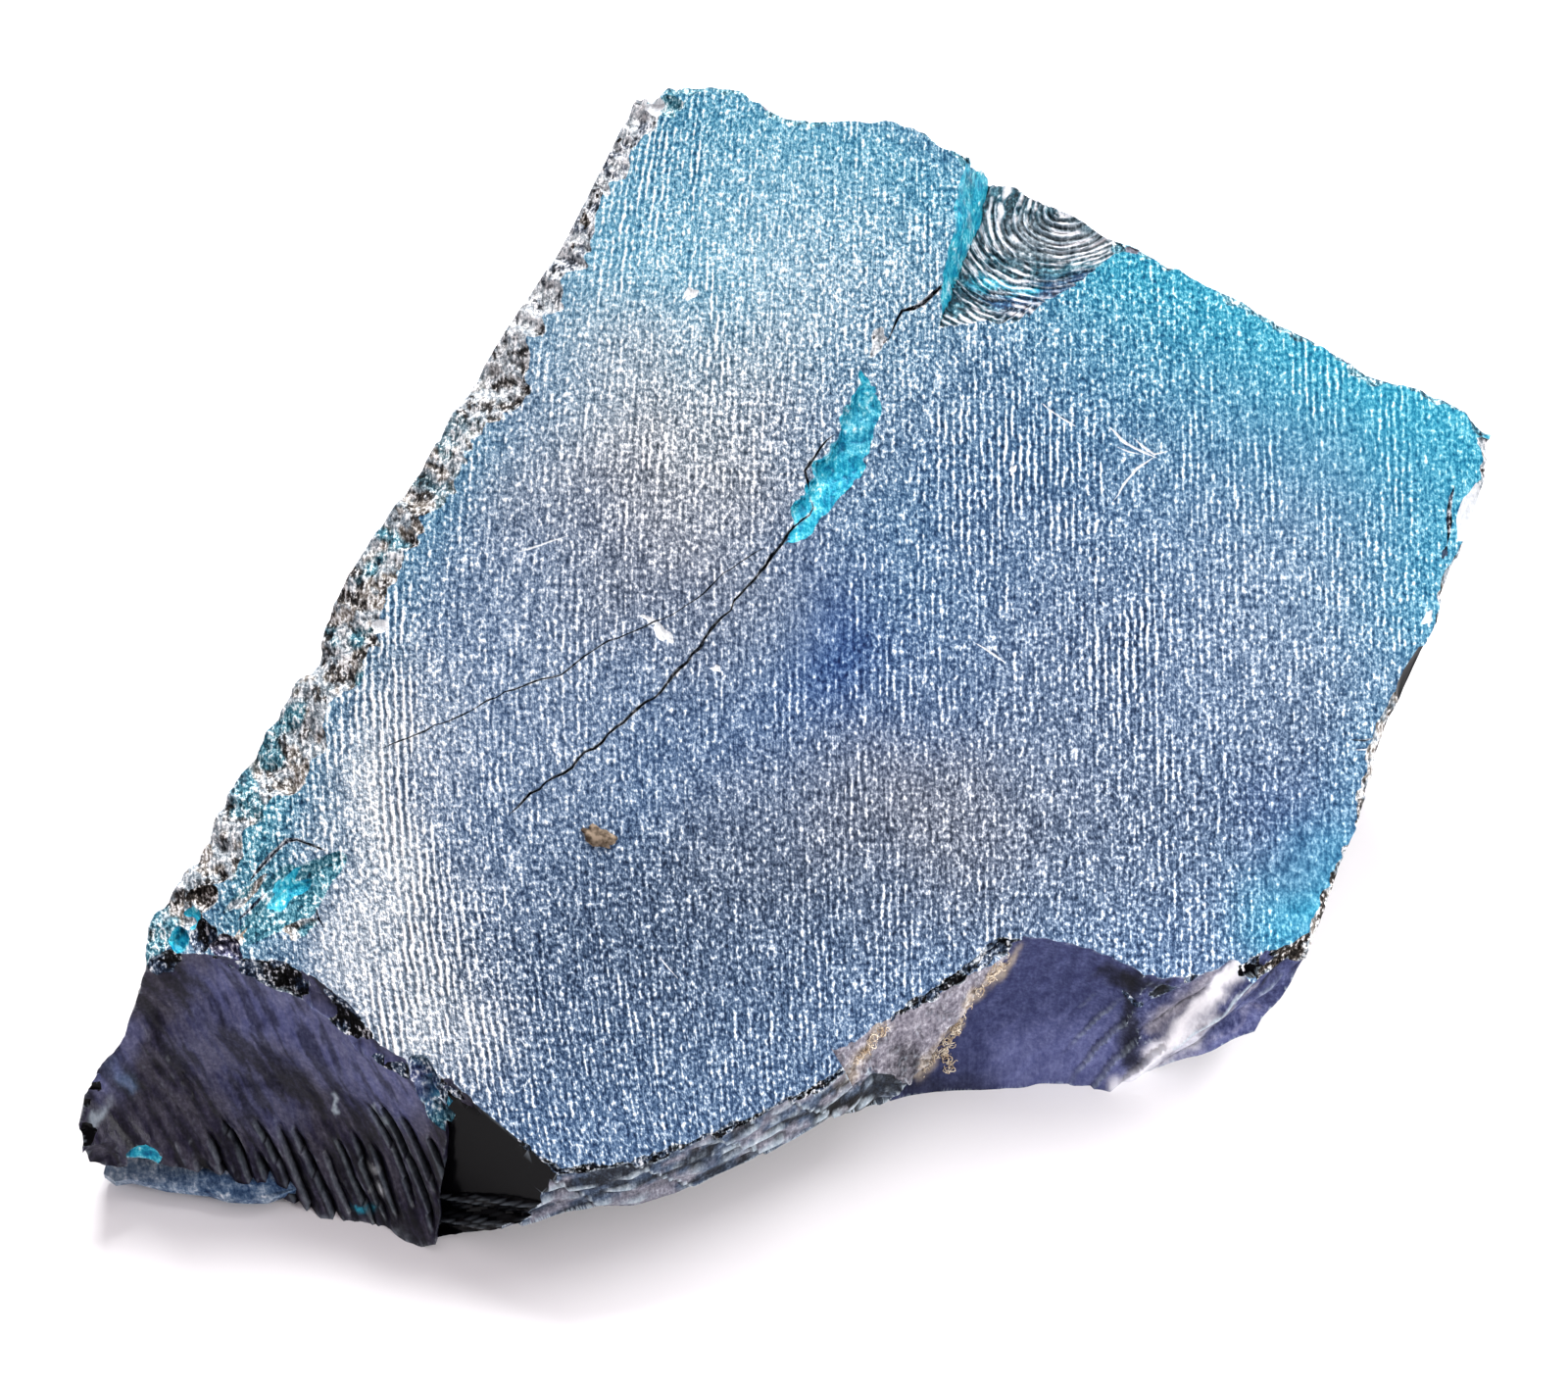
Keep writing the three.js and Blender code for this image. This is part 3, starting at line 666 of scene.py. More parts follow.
# Single flakes: (u, v, w), half width, length to width, angle in the face, lean, depth, kind
FLAKES = (
    ((-18.3, -7.4, 0.1), 1.1, 1.9, 41, -14, 0.3, TEAL),
    ((-18.2, -7.5, -0.15), 0.46, 2.1, 44, -12, 0.2, FRESH),
    ((-17, -7.7, 0.02), 0.17, 1.3, 20, 0, 0.08, WHITE),
    ((-19, -8.6, -0.02), 0.28, 4.2, 44, 10, 0.12, BEIGE),
    ((-19.6, -7.7, -0.02), 0.2, 4.2, 44, 12, 0.1, PALE),
    ((-17.6, -8.9, 0.02), 0.4, 1.6, 30, 12, 0.14, PALE),
    ((-21.9, -8.3, -0.1), 0.42, 1.5, 118, -20, 0.26, FRESH),
    ((-22.1, -9.3, -0.2), 0.3, 1.3, 100, -20, 0.2, FRESH),
    ((-21.4, -7.6, -0.05), 0.5, 1.3, 30, -28, 0.35, DARK),
    ((-21, -9.2, -0.05), 0.45, 1.2, 80, 20, 0.3, CHIPPED),
    ((-20.3, -9.5, -0.05), 0.4, 1.5, 160, 10, 0.2, DARK),
    ((-15.6, 1.8, 0.05), 0.34, 1.4, 15, 12, 0.2, FRESH),
    ((-15.1, 2.2, -0.02), 0.3, 1.5, 15, 12, 0.1, WHITE),
    ((-5.6, 21.9, 0.05), 0.6, 1.4, 62, -18, 0.28, PALE),
    ((-5, 22.4, -0.1), 0.35, 1.3, 30, -18, 0.2, WHITE),
    ((-4.4, 22.2, 0.02), 0.42, 1.3, 0, 20, 0.2, TEAL),
    ((-4.5, 2.2, 0.02), 0.26, 2.2, -42, 0, 0.07, WHITE),
    ((-5, 2.7, 0.02), 0.14, 3, 150, 0, 0.05, WHITE),
    ((-3.5, 15.1, 0.02), 0.26, 1.3, 20, 0, 0.07, WHITE),
    ((8.6, 8.6, 0.02), 0.16, 1.5, 60, 0, 0.05, WHITE),
    ((-2.5, 0.9, 0.02), 0.16, 1.4, 0, 0, 0.05, WHITE),
    ((3.6, 13.4, 0.05), 0.3, 2.1, 72, 16, 0.16, PALE),
    ((-12.95, -15.05, -0.75), 0.5, 1.4, -60, 30, 0.32, FRESH),
    ((-13.3, -14.3, -0.3), 0.45, 1.4, -60, 30, 0.25, TEAL),
    ((-12.6, -15.7, -1.2), 0.35, 1.7, -60, 30, 0.2, TEAL),
    ((12.4, -10.9, -0.7), 0.42, 2.2, -25, -40, 0.25, CHIPPED),
    ((13.3, -11.5, -1.5), 0.4, 1.8, -50, -40, 0.22, CHIPPED),
    ((13.9, -11, -0.9), 0.35, 2, 20, -40, 0.2, SLIVER),
    ((18.9, -9.6, -0.15), 0.75, 1.6, 28, -30, 0.3, DARK),
    ((25, 5.7, 0.05), 0.16, 1.8, 75, 16, 0.1, SLIVER),
    ((24.3, 3.2, 0.05), 0.2, 1.8, 75, 16, 0.12, WHITE),
)


def single_flakes():
    """The flakes of the table."""
    for i, (at, radius, stretch, angle, lean, depth, kind) in enumerate(FLAKES):
        angle, lean = math.radians(angle), math.radians(lean)
        long = (math.cos(angle), math.sin(angle), 0)
        out = (-long[1] * math.sin(lean), long[0] * math.sin(lean), math.cos(lean))
        yield dish(at, out, radius, depth, kind, stretch=stretch, seed=i, long=long, turns=26)


def tip_flakes():
    """Pits and chips in the knob at the tip."""
    for i, (at, radius, stretch, kind, rise) in enumerate((
        ((-24.9, -14.6, -3), 0.5, 1.3, BLACK, 0.6),
        ((-25.3, -16, -3.7), 0.42, 1.2, BLACK, 0.6),
        ((-24.3, -14, -2.5), 0.6, 1.6, LIGHT, 0.6),
        ((-24.6, -16.9, -4.3), 0.6, 1.6, GLASSY, 0.6),
        ((-22.9, -16.95, -5.05), 0.42, 2, FRESH, -0.3),
        ((-24.2, -12.9, -1.9), 0.35, 2, TEAL, 0.6),
        ((-23.5, -11.9, -1.1), 0.32, 2.2, LIGHT, 0.6),
    )):
        yield dish(at, (-0.2, -0.55, 0.8), radius, radius * 0.35, kind, 22, stretch=stretch,
                   seed=i, long=(0.8, rise, 0.1))


def right_chips():
    """The few narrow chips in the right edge."""
    up, outward = (0.4, -0.14, 0.9), (0.72, -0.26, 0.64)
    for i, (at, out, radius, stretch, kind) in enumerate((
        ((25.85, 7.3, -0.1), up, 0.42, 2.1, WHITE),
        ((25.05, 4.7, -0.45), outward, 0.36, 2, PALE),
        ((23.35, 0.1, -0.45), outward, 0.75, 2.3, BLACK),
        ((22.85, -0.7, -0.45), outward, 0.62, 1.6, PALE),
    )):
        yield dish(at, out, radius, radius * 0.22, kind, stretch=stretch, seed=i)


def flakes_along(path, sizes, spacing, lean, seed, kinds):
    """Flakes off a rim of the sawn face. path runs with the stone on its left; sizes(s) is how
    large they are at s along it, and lean how far they face outward, in degrees."""
    length, place = walk(path)
    s, i = 0.3, 0
    while s < length:
        def chance(low, high, throw, i=i):
            return mix(low, high, random(seed + i + throw))

        u, v = place(s)
        run = Vector(np.subtract(place(s + 0.5), place(s - 0.5))).normalized()
        radius = float(sizes(s)) * chance(0.5, 1.3, 0)
        angle = math.radians(lean + 30 * (random(seed + i + 40) - 0.5))
        out = (run.y * math.sin(angle), -run.x * math.sin(angle), math.cos(angle))
        sunk = radius * chance(0.2, 0.5, 80)
        yield dish(
            at=(u - out[0] * sunk + out[0] * 0.1, v - out[1] * sunk + out[1] * 0.1, -out[2] * sunk),
            out=out, radius=radius, depth=radius * 0.3, kind=kinds[i % len(kinds)],
            stretch=chance(1, 1.9, 120), seed=i, turns=16, steps=5,
            long=(run.x, run.y, chance(-0.6, 0.6, 160)),
        )
        s += radius * spacing
        i += 1


def rim_flakes():
    """Flakes off the left and the top rim."""
    for start, end, rim, sizes, spacing, seed, kinds in (
        (LEFT_CORNER, TOP_CORNER, LEFT_RIM, lambda s: 0.4 + 0.2 * smooth(14, 38, s), 1.1, 3,
         (PALE, PALE, DARK)),
        (TOP_CORNER, RIGHT_CORNER, TOP_RIM, lambda s: 0.28, 2.6, 21, (TEAL, SLIVER)),
    ):
        _, run = edge(start, end)
        path = [
            (start[0] + run.x * s - run.y * back, start[1] + run.y * s + run.x * back)
            for s, back in rim
        ]
        yield from flakes_along(path[::-1], sizes, spacing, 62, seed, kinds)


def front_chips():
    """The dark crushed rim along the front of the sawn face, with flakes off it."""
    yield tube(
        FRONT_RIM, lambda s, turn: np.maximum(0.12 + 0.1 * grain(s * 1.5, turn, 0.5, 7), 0.03)
        + 0.08 * hill(s - 37, 0, 3, 1), CHIPPED,
    )
    for first, last, sizes, spacing, lean, seed, kinds in (
        (0, 8, lambda s: 0.5 - 0.015 * s, 0.55, 42, 5, (CHIPPED, GLASSY)),
        (7, 18, lambda s: 0.17, 2.6, 35, 25, (CHIPPED, BLACK)),
        (16, 22, lambda s: 0.2 + 0.14 * smooth(2, 5, s), 0.8, 35, 45, (CHIPPED, CHIPPED, BLACK)),
        (21, None, lambda s: 0.2, 1.4, 35, 65, (BLACK, LIGHT)),
    ):
        yield from flakes_along(FRONT_RIM[first:last], sizes, spacing, lean, seed, kinds)


def chipped_edge(start, end, rim, setback, lean, size, seed, kind):
    """A band of small chips along an edge, which meet in ridges. setback(s) is how deep the
    band bites, and lean how far it faces up, in degrees."""
    length, run = edge(start, end)
    places = [
        (length * random(seed + i), mix(-1.6, 1.6, random(seed + i + 300)),
         size * mix(0.5, 1.5, random(seed + i + 600) ** 1.5))
        for i in range(int(length / size * 2.2))
    ]
    lean = math.radians(lean)

    def relief(x, y):
        s = x + length / 2
        band = broken(rim, s) * math.cos(lean) - setback(s)
        return band + bowls(s, y, places, 0.35) + 0.05 * grain(s, y, 0.3, seed)

    at = Vector(start) + run * (length / 2)
    return sheet(
        at=(at.x, at.y, 0), along=(run.x, run.y, 0),
        out=(-run.y * math.cos(lean), run.x * math.cos(lean), math.sin(lean)),
        half=(length / 2 + 0.2, 2.6), cells=(int(length / BAND_CELL), 40), relief=relief,
        kind=kind, reach=3,
    )


def edge_bands():
    """The bands of small chips along the long edges."""
    def left(s):
        ragged = 0.66 + 0.26 * grain(s, s * 0, 1.2, 51)
        return ragged + 0.4 * hill(s - 9, 0, 6.5, 1) - 0.3 * smooth(22, 30, s)

    def top(s):
        return 0.1 + 0.1 * grain(s, s * 0, 1.2, 52)

    def right(s):
        return 0.14 + 0.14 * grain(s, s * 0, 1.4, 53)

    yield chipped_edge(LEFT_CORNER, TOP_CORNER, LEFT_RIM, left, 60, 0.34, 61, PALE)
    yield chipped_edge(TOP_CORNER, RIGHT_CORNER, TOP_RIM, top, 55, 0.26, 71, TEAL)
    yield chipped_edge(RIGHT_CORNER, LOW_CORNER, RIGHT_RIM, right, 50, 0.32, 81, PALE)


# ---- Out of sight
# Broad scars on the sides: where struck, out, radius, depth, how much they bite at the rim, and
# the way in which they spare it
SCARS = (
    ((-21, -2, 0.5), (-0.8, 0.4, -0.42), 14, 1.5, 0, None),
    ((-12, 14, 0.5), (-0.8, 0.46, -0.36), 17, 2, 0, None),
    ((-4, 25, 0), (0.1, 0.93, -0.36), 12, 1.6, 1, None),
    ((21.5, 15, 0), (0.42, 0.83, -0.38), 13, 1.6, 1, math.pi),
    ((25.8, 3, 0.5), (0.88, -0.28, -0.38), 14, 1.4, 1, 0),
)


def side_scars():
    """Broad scars on the sides, each opening in arcs from the point struck."""
    def scar(i, struck, out, radius, depth, rim, spared):
        def form(r, turn):
            bite = mix(smooth(0.1, -0.7, np.sin(turn)), 1, rim)
            if spared is not None:
                bite = bite * (1 - 0.85 * np.maximum(0, np.cos(turn - spared)) ** 3)
            arcs = 0.07 * np.sin(r * 2.4 + 1.6 * np.sin(r * 0.8))
            fine = 0.018 * np.sin(r * 8 + np.sin(turn * 4 + i)) * (0.5 + 0.5 * np.sin(r * 0.9 + i))
            rays = 0.05 * np.abs(np.sin(turn * (19 + i) + 0.4 * np.sin(r))) ** 8
            rays = rays * smooth(0.35, 0.8, r / radius)
            return -depth * bite * np.sin(math.pi * r / radius) + arcs + fine + rays
        return shell(struck, out, radius * 1.2, form, 80, 150, GLASSY, reach=REACH)
    return [scar(i, *row) for i, row in enumerate(SCARS)]


def undersides():
    """Hollows under the stone. They are placed in the frame that the stone lies in."""
    def front(x, y):
        arcs = 0.03 * np.sin(np.hypot(x - 3, y - 8) * 4)
        uneven = swell(x, y, 1.5, 0.12) + 0.05 * grain(x, y, 1, 92)
        return broken(UNDER_FRONT, x) + 0.012 * y * y + uneven + arcs

    def plain(form, size, height, *fine):
        return lambda x, y: form(x) + swell(x, y, size, height) + fine[0] * grain(x, y, *fine[1:])

    for at, out, along, half, cells, relief in (
        ((-22, -15, 1.4), (-0.28, -0.23, -0.93), (1, 0, 0), (9, 12), (60, 60),
         plain(lambda x: -0.15 + 0.01 * x * x, 1.4, 0.12, 0.04, 0.9, 91)),
        ((-3, -14.6, 3.1), (0.12, -0.6, -0.8), (0.95, 0.3, 0), (14, 9), (120, 50), front),
        ((16.6, -9.6, 1.7), (0.47, -0.3, -0.83), (1, 0, 0), (12, 14), (60, 60),
         plain(lambda x: -0.2 + 0.012 * x * x - 0.05 * x, 1.5, 0.14, 0.04, 1, 93)),
        ((22, 4, 5), (0.62, 0.1, -0.78), (0, 1, 0), (22, 14), (120, 60),
         plain(lambda x: -1 + 0.006 * x * x, 2.6, 0.3, 0.07, 1.4, 94)),
        ((2, 21, 4), (0.1, 0.75, -0.66), (1, 0, 0), (30, 13), (150, 60),
         plain(lambda x: -1 + 0.01 * (x - 4) ** 2, 3, 0.3, 0.08, 1.5, 95)),
    ):
        yield sheet(at, out, along, half, cells, relief, GLASSY)
    radius, depth = 14, 2.2
    yield shell(
        (-15.5, 7, 2), (-0.72, 0.3, -0.62), radius * 1.35,
        lambda r, turn: depth * ((r / radius) ** 2 - 1) + 0.04 * np.sin(r * 3 + np.sin(turn * 3)),
        70, 120, GLASSY, reach=REACH,
    )


# ---- Carving
def settle(piece, modifier):
    """Turns what the modifier makes of the piece into its plain mesh, and removes it."""
    shape = piece.evaluated_get(bpy.context.evaluated_depsgraph_get())
    mesh = bpy.data.meshes.new_from_object(shape)
    piece.modifiers.remove(modifier)
    old = piece.data
    piece.data = mesh
    bpy.data.meshes.remove(old)
    if not mesh.polygons:
        raise RuntimeError(f"nothing is left of {piece.name}")


def combine(stone, others, operation):
    """Cuts the others out of the stone, joins them to it or meets them with it, all at once,
    and removes them."""
    group = bpy.data.collections.new("cutters")
    for other in others:
        group.objects.link(other)
    modifier = stone.modifiers.new("carve", "BOOLEAN")
    modifier.operation = operation
    modifier.operand_type = "COLLECTION"
    modifier.collection = group
    modifier.solver = "MANIFOLD"
    settle(stone, modifier)
    for other in others:
        used = other.data
        bpy.data.objects.remove(other)
        bpy.data.meshes.remove(used)
    bpy.data.collections.remove(group)


def prism(name, outline, low, high, kind):
    """An upright solid on an outline that runs anticlockwise."""
    count = len(outline)
    points = [(x, y, z) for z in (low, high) for x, y in outline]
    ends = [list(range(count))[::-1], list(range(count, 2 * count))]
    return solid(name, points, ends + between(2, count).tolist(), kind)


def square(left, front, right, back):
    """The outline of an upright block."""
    return ((left, front), (right, front), (right, back), (left, back))


def face_turn():
    """The turn from the frame of the sawn face to the frame that the stone lies in."""
    tilt = Matrix.Rotation(math.radians(FACE_TILT), 3, "X")
    return np.array(tilt @ Matrix.Rotation(math.radians(FACE_ROLL), 3, "Y"))


def move_points(mesh, change):
    """Passes the mesh's points through change, which takes and gives rows of x, y, z."""
    moved = change(read(mesh.vertices, "co", 3).astype(float))
    mesh.vertices.foreach_set("co", moved.astype(np.float32).ravel())
    mesh.update()


def carved_stone(sizes):
    """The whole stone, lying in the row frame, still in millimetres."""
    crack = sizes["crack_width"]
    stone = prism(
        "rough_zircon_stone", square(*BLOCK_LOW[:2], *BLOCK_HIGH[:2]), BLOCK_LOW[2], BLOCK_HIGH[2],
        GLASSY,
    )
    combine(stone, [
        sawn_face(sizes["saw_pitch"], sizes["saw_depth"]), left_side(), top_side(), right_side(),
        tip_side(), saddle(sizes["groove_pitch"], sizes["groove_depth"]), notch(), front_bevel(),
        ledge(), scoop(), lobes(), top_chip(sizes["ripple_pitch"], sizes["ripple_height"]),
        second_ripples(), flake_pit(), *side_scars(), *right_chips(), *edge_bands(),
        *rim_flakes(), *single_flakes(), *tip_flakes(), *front_chips(),
        groove(CRACK[:3], crack, 0.35, CHIPPED, 0.14, 3),
        groove(CRACK[5:], crack * 0.75, 0.3, CHIPPED, 0.11, 4),
        groove(HAIR_CRACK, crack * 0.4, 0.12, CHIPPED, 0.08, 5),
        *[groove(path, 0.1, 0.02, WHITE, 0.05, k) for k, path in enumerate(SCRATCHES)],
        *[groove(path, 0.16, 0.12, CHIPPED, 0.12, k) for k, path in enumerate(SPLITS)],
    ], "DIFFERENCE")
    turn = face_turn()
    move_points(stone.data, lambda p: p @ turn.T + np.array((0, 0, FACE_HEIGHT)))
    ground = prism("cutter", square(-GROUND, -GROUND, GROUND, GROUND), BLOCK_LOW[2], 0, GLASSY)
    combine(stone, [ground, *undersides()], "DIFFERENCE")
    combine(stone, [prism("cutter", TIP_LEDGE, *TIP_LEDGE_HEIGHTS, LEDGE)], "UNION")
    return stone


# ---- Finish
# Washes of colour in the sawn face, the whitish band at the left a painted sheen: (u, v),
# spread along u and v, colour's name, strength
WASHES = (
    ((-3, 17.5), (10, 6.5), "sky", 0.82),
    ((-4, 10), (6, 4), "bloom_and_painted_light", 0.48),
    ((-4.8, 4.6), (4.5, 4), "ash", 0.65),
    ((3.8, 6.6), (3.5, 3), "deep", 0.3),
    ((3.8, 6.6), (3.5, 3), "glow", 0.12),
    ((1.5, 2.4), (1.8, 2.8), "deep", 1),
    ((2.5, -1), (5, 3), "deep", 0.35),
    ((-5, -10), (9, 5.5), "slate", 0.7),
    ((4, -6), (7, 4), "slate", 0.5),
    ((10.5, 1.5), (5, 5), "ash", 0.3),
    ((18.6, -4.6), (2, 2), "deep", 0.7),
    ((19.5, -7.6), (2.4, 1.8), "turquoise", 0.5),
    ((19.8, -7), (2, 2.2), "deep", 0.7),
    ((19.9, -8.2), (1.9, 1.5), "turquoise", 0.55),
    ((10, -5.5), (9, 4.5), "ash", 0.2),
    ((10, -5.5), (9, 4.5), "umber", 0.12),
    ((4.5, -4.3), (6, 3.5), "beige", 0.2),
    ((-1, -7.5), (4, 2), "umber", 0.14),
    ((-10, 0), (3, 6), "bloom_and_painted_light", 0.18),
    ((19.5, -1.4), (2.5, 3), "slate", 0.25),
    ((-3.5, 9.5), (6, 4.5), "beige", 0.3),
    ((19, 3), (5, 5), "bloom_and_painted_light", 0.13),
    ((19, 3), (5, 5), "ash", 0.1),
    ((1.5, 16.5), (5, 3.5), "bloom_and_painted_light", 0.3),
    ((16, -5), (6, 5), "slate", 0.35),
    # painted sheen: the bright band at the left, where the saw marks catch the light
    ((-14.9, -5), (1.8, 7.5), "bloom_and_painted_light", 1),
    ((-13, -11.5), (2.1, 3.6), "bloom_and_painted_light", 0.85),
    ((-19.6, -5.5), (2.3, 4.4), "sea", 0.85),
)
# Strokes of colour on broken places, among them painted sheen, painted highlights and glints,
# and painted shade in nooks: from, to, spread either side, colour's name, strength
STROKES = (
    # painted violet sheen across the dark fracture
    ((-20.2, -10.9), (-13.6, -14.6), 1.3, "painted_violet_sheen", 0.95),
    ((-21.5, -12.5), (-18.5, -15.5), 1, "painted_violet_sheen", 0.4),
    ((-18.2, -19.1), (-13, -20.4), 0.4, "pale_tone_and_highlight", 0.5),
    # painted white glints by the torn grooves
    ((-15.3, -17.1), (-15, -17.6), 0.1, "white", 0.9),
    ((-14.9, -18.1), (-14.4, -18.3), 0.12, "white", 0.9),
    ((-15.6, -18.8), (-15, -18.9), 0.16, "turquoise", 0.9),
    # painted glints on the tips of the fins
    ((-16.4, -14.8), (-16.1, -15.4), 0.07, "pale_tone_and_highlight", 0.9),
    ((-15.1, -15), (-14.7, -15.7), 0.08, "pale_tone_and_highlight", 0.9),
    ((-24.6, -13.6), (-24, -14.4), 0.25, "sawn", 0.7),
    # a painted glint on the knob at the tip
    ((-25.2, -15.6), (-24.7, -15.2), 0.16, "pale_tone_and_highlight", 0.6),
    # painted violet sheen on the knob at the tip
    ((-24.8, -14.4), (-23.8, -12.4), 0.6, "painted_violet_sheen", 0.7),
    # painted light through the thin ledge under the tip
    ((-27, -19), (-24.2, -18.6), 1, "bloom_and_painted_light", 0.55),
    # painted highlights along the ridge of the lobes
    ((14, -12), (16, -10.3), 0.35, "light", 0.9),
    ((13.4, -14.6), (15.7, -12.3), 0.6, "bone", 0.6),
    ((13, -14.2), (17, -10.1), 0.3, "bone", 0.9),
    ((14.8, -13.2), (17.6, -10.7), 0.1, "light", 0.8),
    ((15.4, -13.2), (18.2, -11.2), 0.08, "light", 0.7),
    # painted violet sheen on the upper part of the hollow
    ((9.4, -13.2), (12.6, -12.9), 1.3, "painted_violet_sheen", 0.7),
    # painted shade at the foot of the hollow
    ((4.8, -13.6), (9.2, -15), 0.8, "black", 0.6),
    # painted violet sheen on the lobes
    ((15.2, -13.6), (18.2, -11.6), 0.5, "painted_violet_sheen", 0.7),
    ((8.6, -9.5), (7, -11.4), 0.2, "beige", 0.8),
    ((7, -11.4), (5.6, -13.6), 0.2, "beige", 0.7),
    ((3.6, -12.2), (2.2, -14.4), 0.25, "beige", 0.7),
    # painted shade in the nook at the top right of the hollow
    ((12.9, -10.2), (13.4, -13), 0.35, "black", 0.85),
    # painted shade in the nook under the lower tip of the ledge
    ((1.6, -15.3), (3.4, -15.1), 0.5, "black", 1),
    # the dark crushed rim of the hollow, partly painted shade
    ((11.8, -10.1), (14.2, -10.6), 0.3, "black", 0.7),
    ((9.2, 18), (11.6, 17.6), 0.8, "pale", 0.55),
    ((8.6, 15.2), (12.6, 15.7), 0.8, "deep", 0.6),
    ((7.4, 16.2), (9.4, 15.6), 0.3, "turquoise", 0.9),
    ((10.4, 16.4), (12.4, 16.6), 0.25, "sea", 0.7),
    ((3.9, 11.9), (2.7, 9.6), 0.9, "glow", 0.85),
)
# Where the grain stands out in the sawn face: (u, v), spread, more grain, more saw lines,
# more mottling
TEXTURES = (
    # the bright band at the left: its grain and saw lines stand out more, partly as painted
    # highlight
    ((-14.8, -5), (2, 9), 0.6, 1.1, 0),
    ((-12.5, -11), (2.6, 4.5), 0.5, 0.9, 0),
    ((-3.5, 18), (2.2, 5), 0.2, 1, 0),
    ((4, 15), (5, 4), 0.4, 0, 0),
    ((-3, 10), (4.5, 3), 0.5, 0.2, 0),
    ((12.6, 3.4), (1.6, 4.2), 0.1, 0.8, 0),
    ((6.6, -4), (1.8, 6), 0.1, 0.6, 0),
    ((9, 9), (3, 4), 0, 0.4, 0),
    ((21, 10), (6, 4), -0.35, 0.2, 0),
    ((1.5, 2.4), (2, 3), -0.35, -0.1, 0),
    ((2, -3), (10, 8), -0.14, 0, 0),
    ((19.6, -6.6), (2.4, 3.2), -0.6, -0.1, 0.2),
    ((-19.6, -5.5), (2.2, 4.5), 0.2, -0.8, 0.7),
)
# Lines along which light comes through the thin rim: from, to, spread inward, strength
GLOWS = (
    ((12.2, 17.4), (26.6, 10.8), 2.6, 1),
    ((16, 15.6), (26.6, 10.8), 5.5, 0.65),
    ((26.6, 10.8), (24.4, 3.6), 2.6, 0.52),
    ((-4.6, 23.2), (12, 17.6), 2.2, 0.45),
    ((-19.5, -4.2), (-12, 9), 1.6, 0.3),
    ((22.4, -1), (19.6, -8.6), 1.3, 0.15),
)
# What each kind of surface looks like: colour, fine grain, saw lines, mottling, roughness,
# clearness, painted highlight on its crests (which also sets the painted shade in its troughs)
FINISHES = {
    SAWN: ("sawn", 1, 0.3, 0.3, 0.5, 0.05, 0),
    GLASSY: ("violet", 0.16, 0, 0.14, 0.35, 0.1, 0.2),
    MATT: ("dusk", 0.12, 0, 0.16, 0.6, 0.05, 0.3),
    BLACK: ("black", 0, 0, 0, 0.2, 0, 0.35),
    FRESH: ("turquoise", 0.6, 0, 0.8, 0.4, 0.1, 0.6),
    PALE: ("pale", 1.5, 0, 0.4, 0.5, 0.1, 0.8),
    RIPPLED: ("teal", 0.5, 0, 0.5, 0.5, 0.05, 1.4),
    SLIVER: ("slate", 0.3, 0, 0.25, 0.4, 0.05, 1.2),
    LIGHT: ("dusk", 0.2, 0, 0.25, 0.5, 0.05, 0.9),
    CHIPPED: ("black", 1.1, 0, 0.7, 0.3, 0, 0.8),
    WHITE: ("white", 0.5, 0, 0.1, 0.7, 0, 0),
    BEIGE: ("beige", 0.9, 0, 0.6, 0.6, 0, 0.4),
    TEAL: ("sea", 1.2, 0, 0.8, 0.4, 0.05, 0.6),
    LEDGE: ("sawn", 0.4, 0, 0.8, 0.3, 0.05, 0.5),
    DARK: ("umber", 1.2, 0, 0.6, 0.4, 0, 0.7),
    GRITTY: ("light", 0.35, 0, 0.4, 0.6, 0, 0.3),
}


def linear(code):
    """A colour for Blender from its sRGB hex code."""
    parts = [int(code[i:i + 2], 16) / 255 for i in (1, 3, 5)]
    return tuple(c / 12.92 if c <= 0.04045 else ((c + 0.055) / 1.055) ** 2.4 for c in parts)


def write(mesh, attribute, domain, rows):
    """Writes rows of three numbers as an attribute of the mesh."""
    made = mesh.attributes.new(attribute, "FLOAT_VECTOR", domain)
    made.data.foreach_set("vector", rows.astype(np.float32).ravel())


def toward(base, colour, share):
    """Rows of base colour turned toward one colour, by a share for each row."""
    share = np.clip(share, 0, 1)[:, None]
    return base * (1 - share) + np.array(colour) * share


def from_line(u, v, start, end):
    """How far each point (u, v) lies from a straight line between two points."""
    run = np.array(end, float) - start
    share = np.clip(((u - start[0]) * run[0] + (v - start[1]) * run[1]) / (run @ run), 0, 1)
    return np.hypot(u - start[0] - share * run[0], v - start[1] - share * run[1])


def sawn_tint(u, v, colours):
    """The colour of the sawn face: washes of blue and grey, a painted sheen at the left, and
    painted turquoise light where light comes through the thin rim.
    """
    tint = np.tile(np.array(colours["sawn"]), (len(u), 1))
    wander_u, wander_v = 1.2 * grain(u, v, 3.5, 61, 2), 1.2 * grain(v, u, 3.5, 62, 2)
    for (cu, cv), (du, dv), name, strength in WASHES:
        tint = toward(
            tint, colours[name], strength * hill(u + wander_u - cu, v + wander_v - cv, du, dv)
        )
    for start, end, spread, strength in GLOWS:
        away = from_line(u + 0.3 * wander_u, v + 0.3 * wander_v, start, end)
        tint = toward(tint, colours["glow"], strength * np.exp(-((away / spread) ** 1.5)))
    return tint


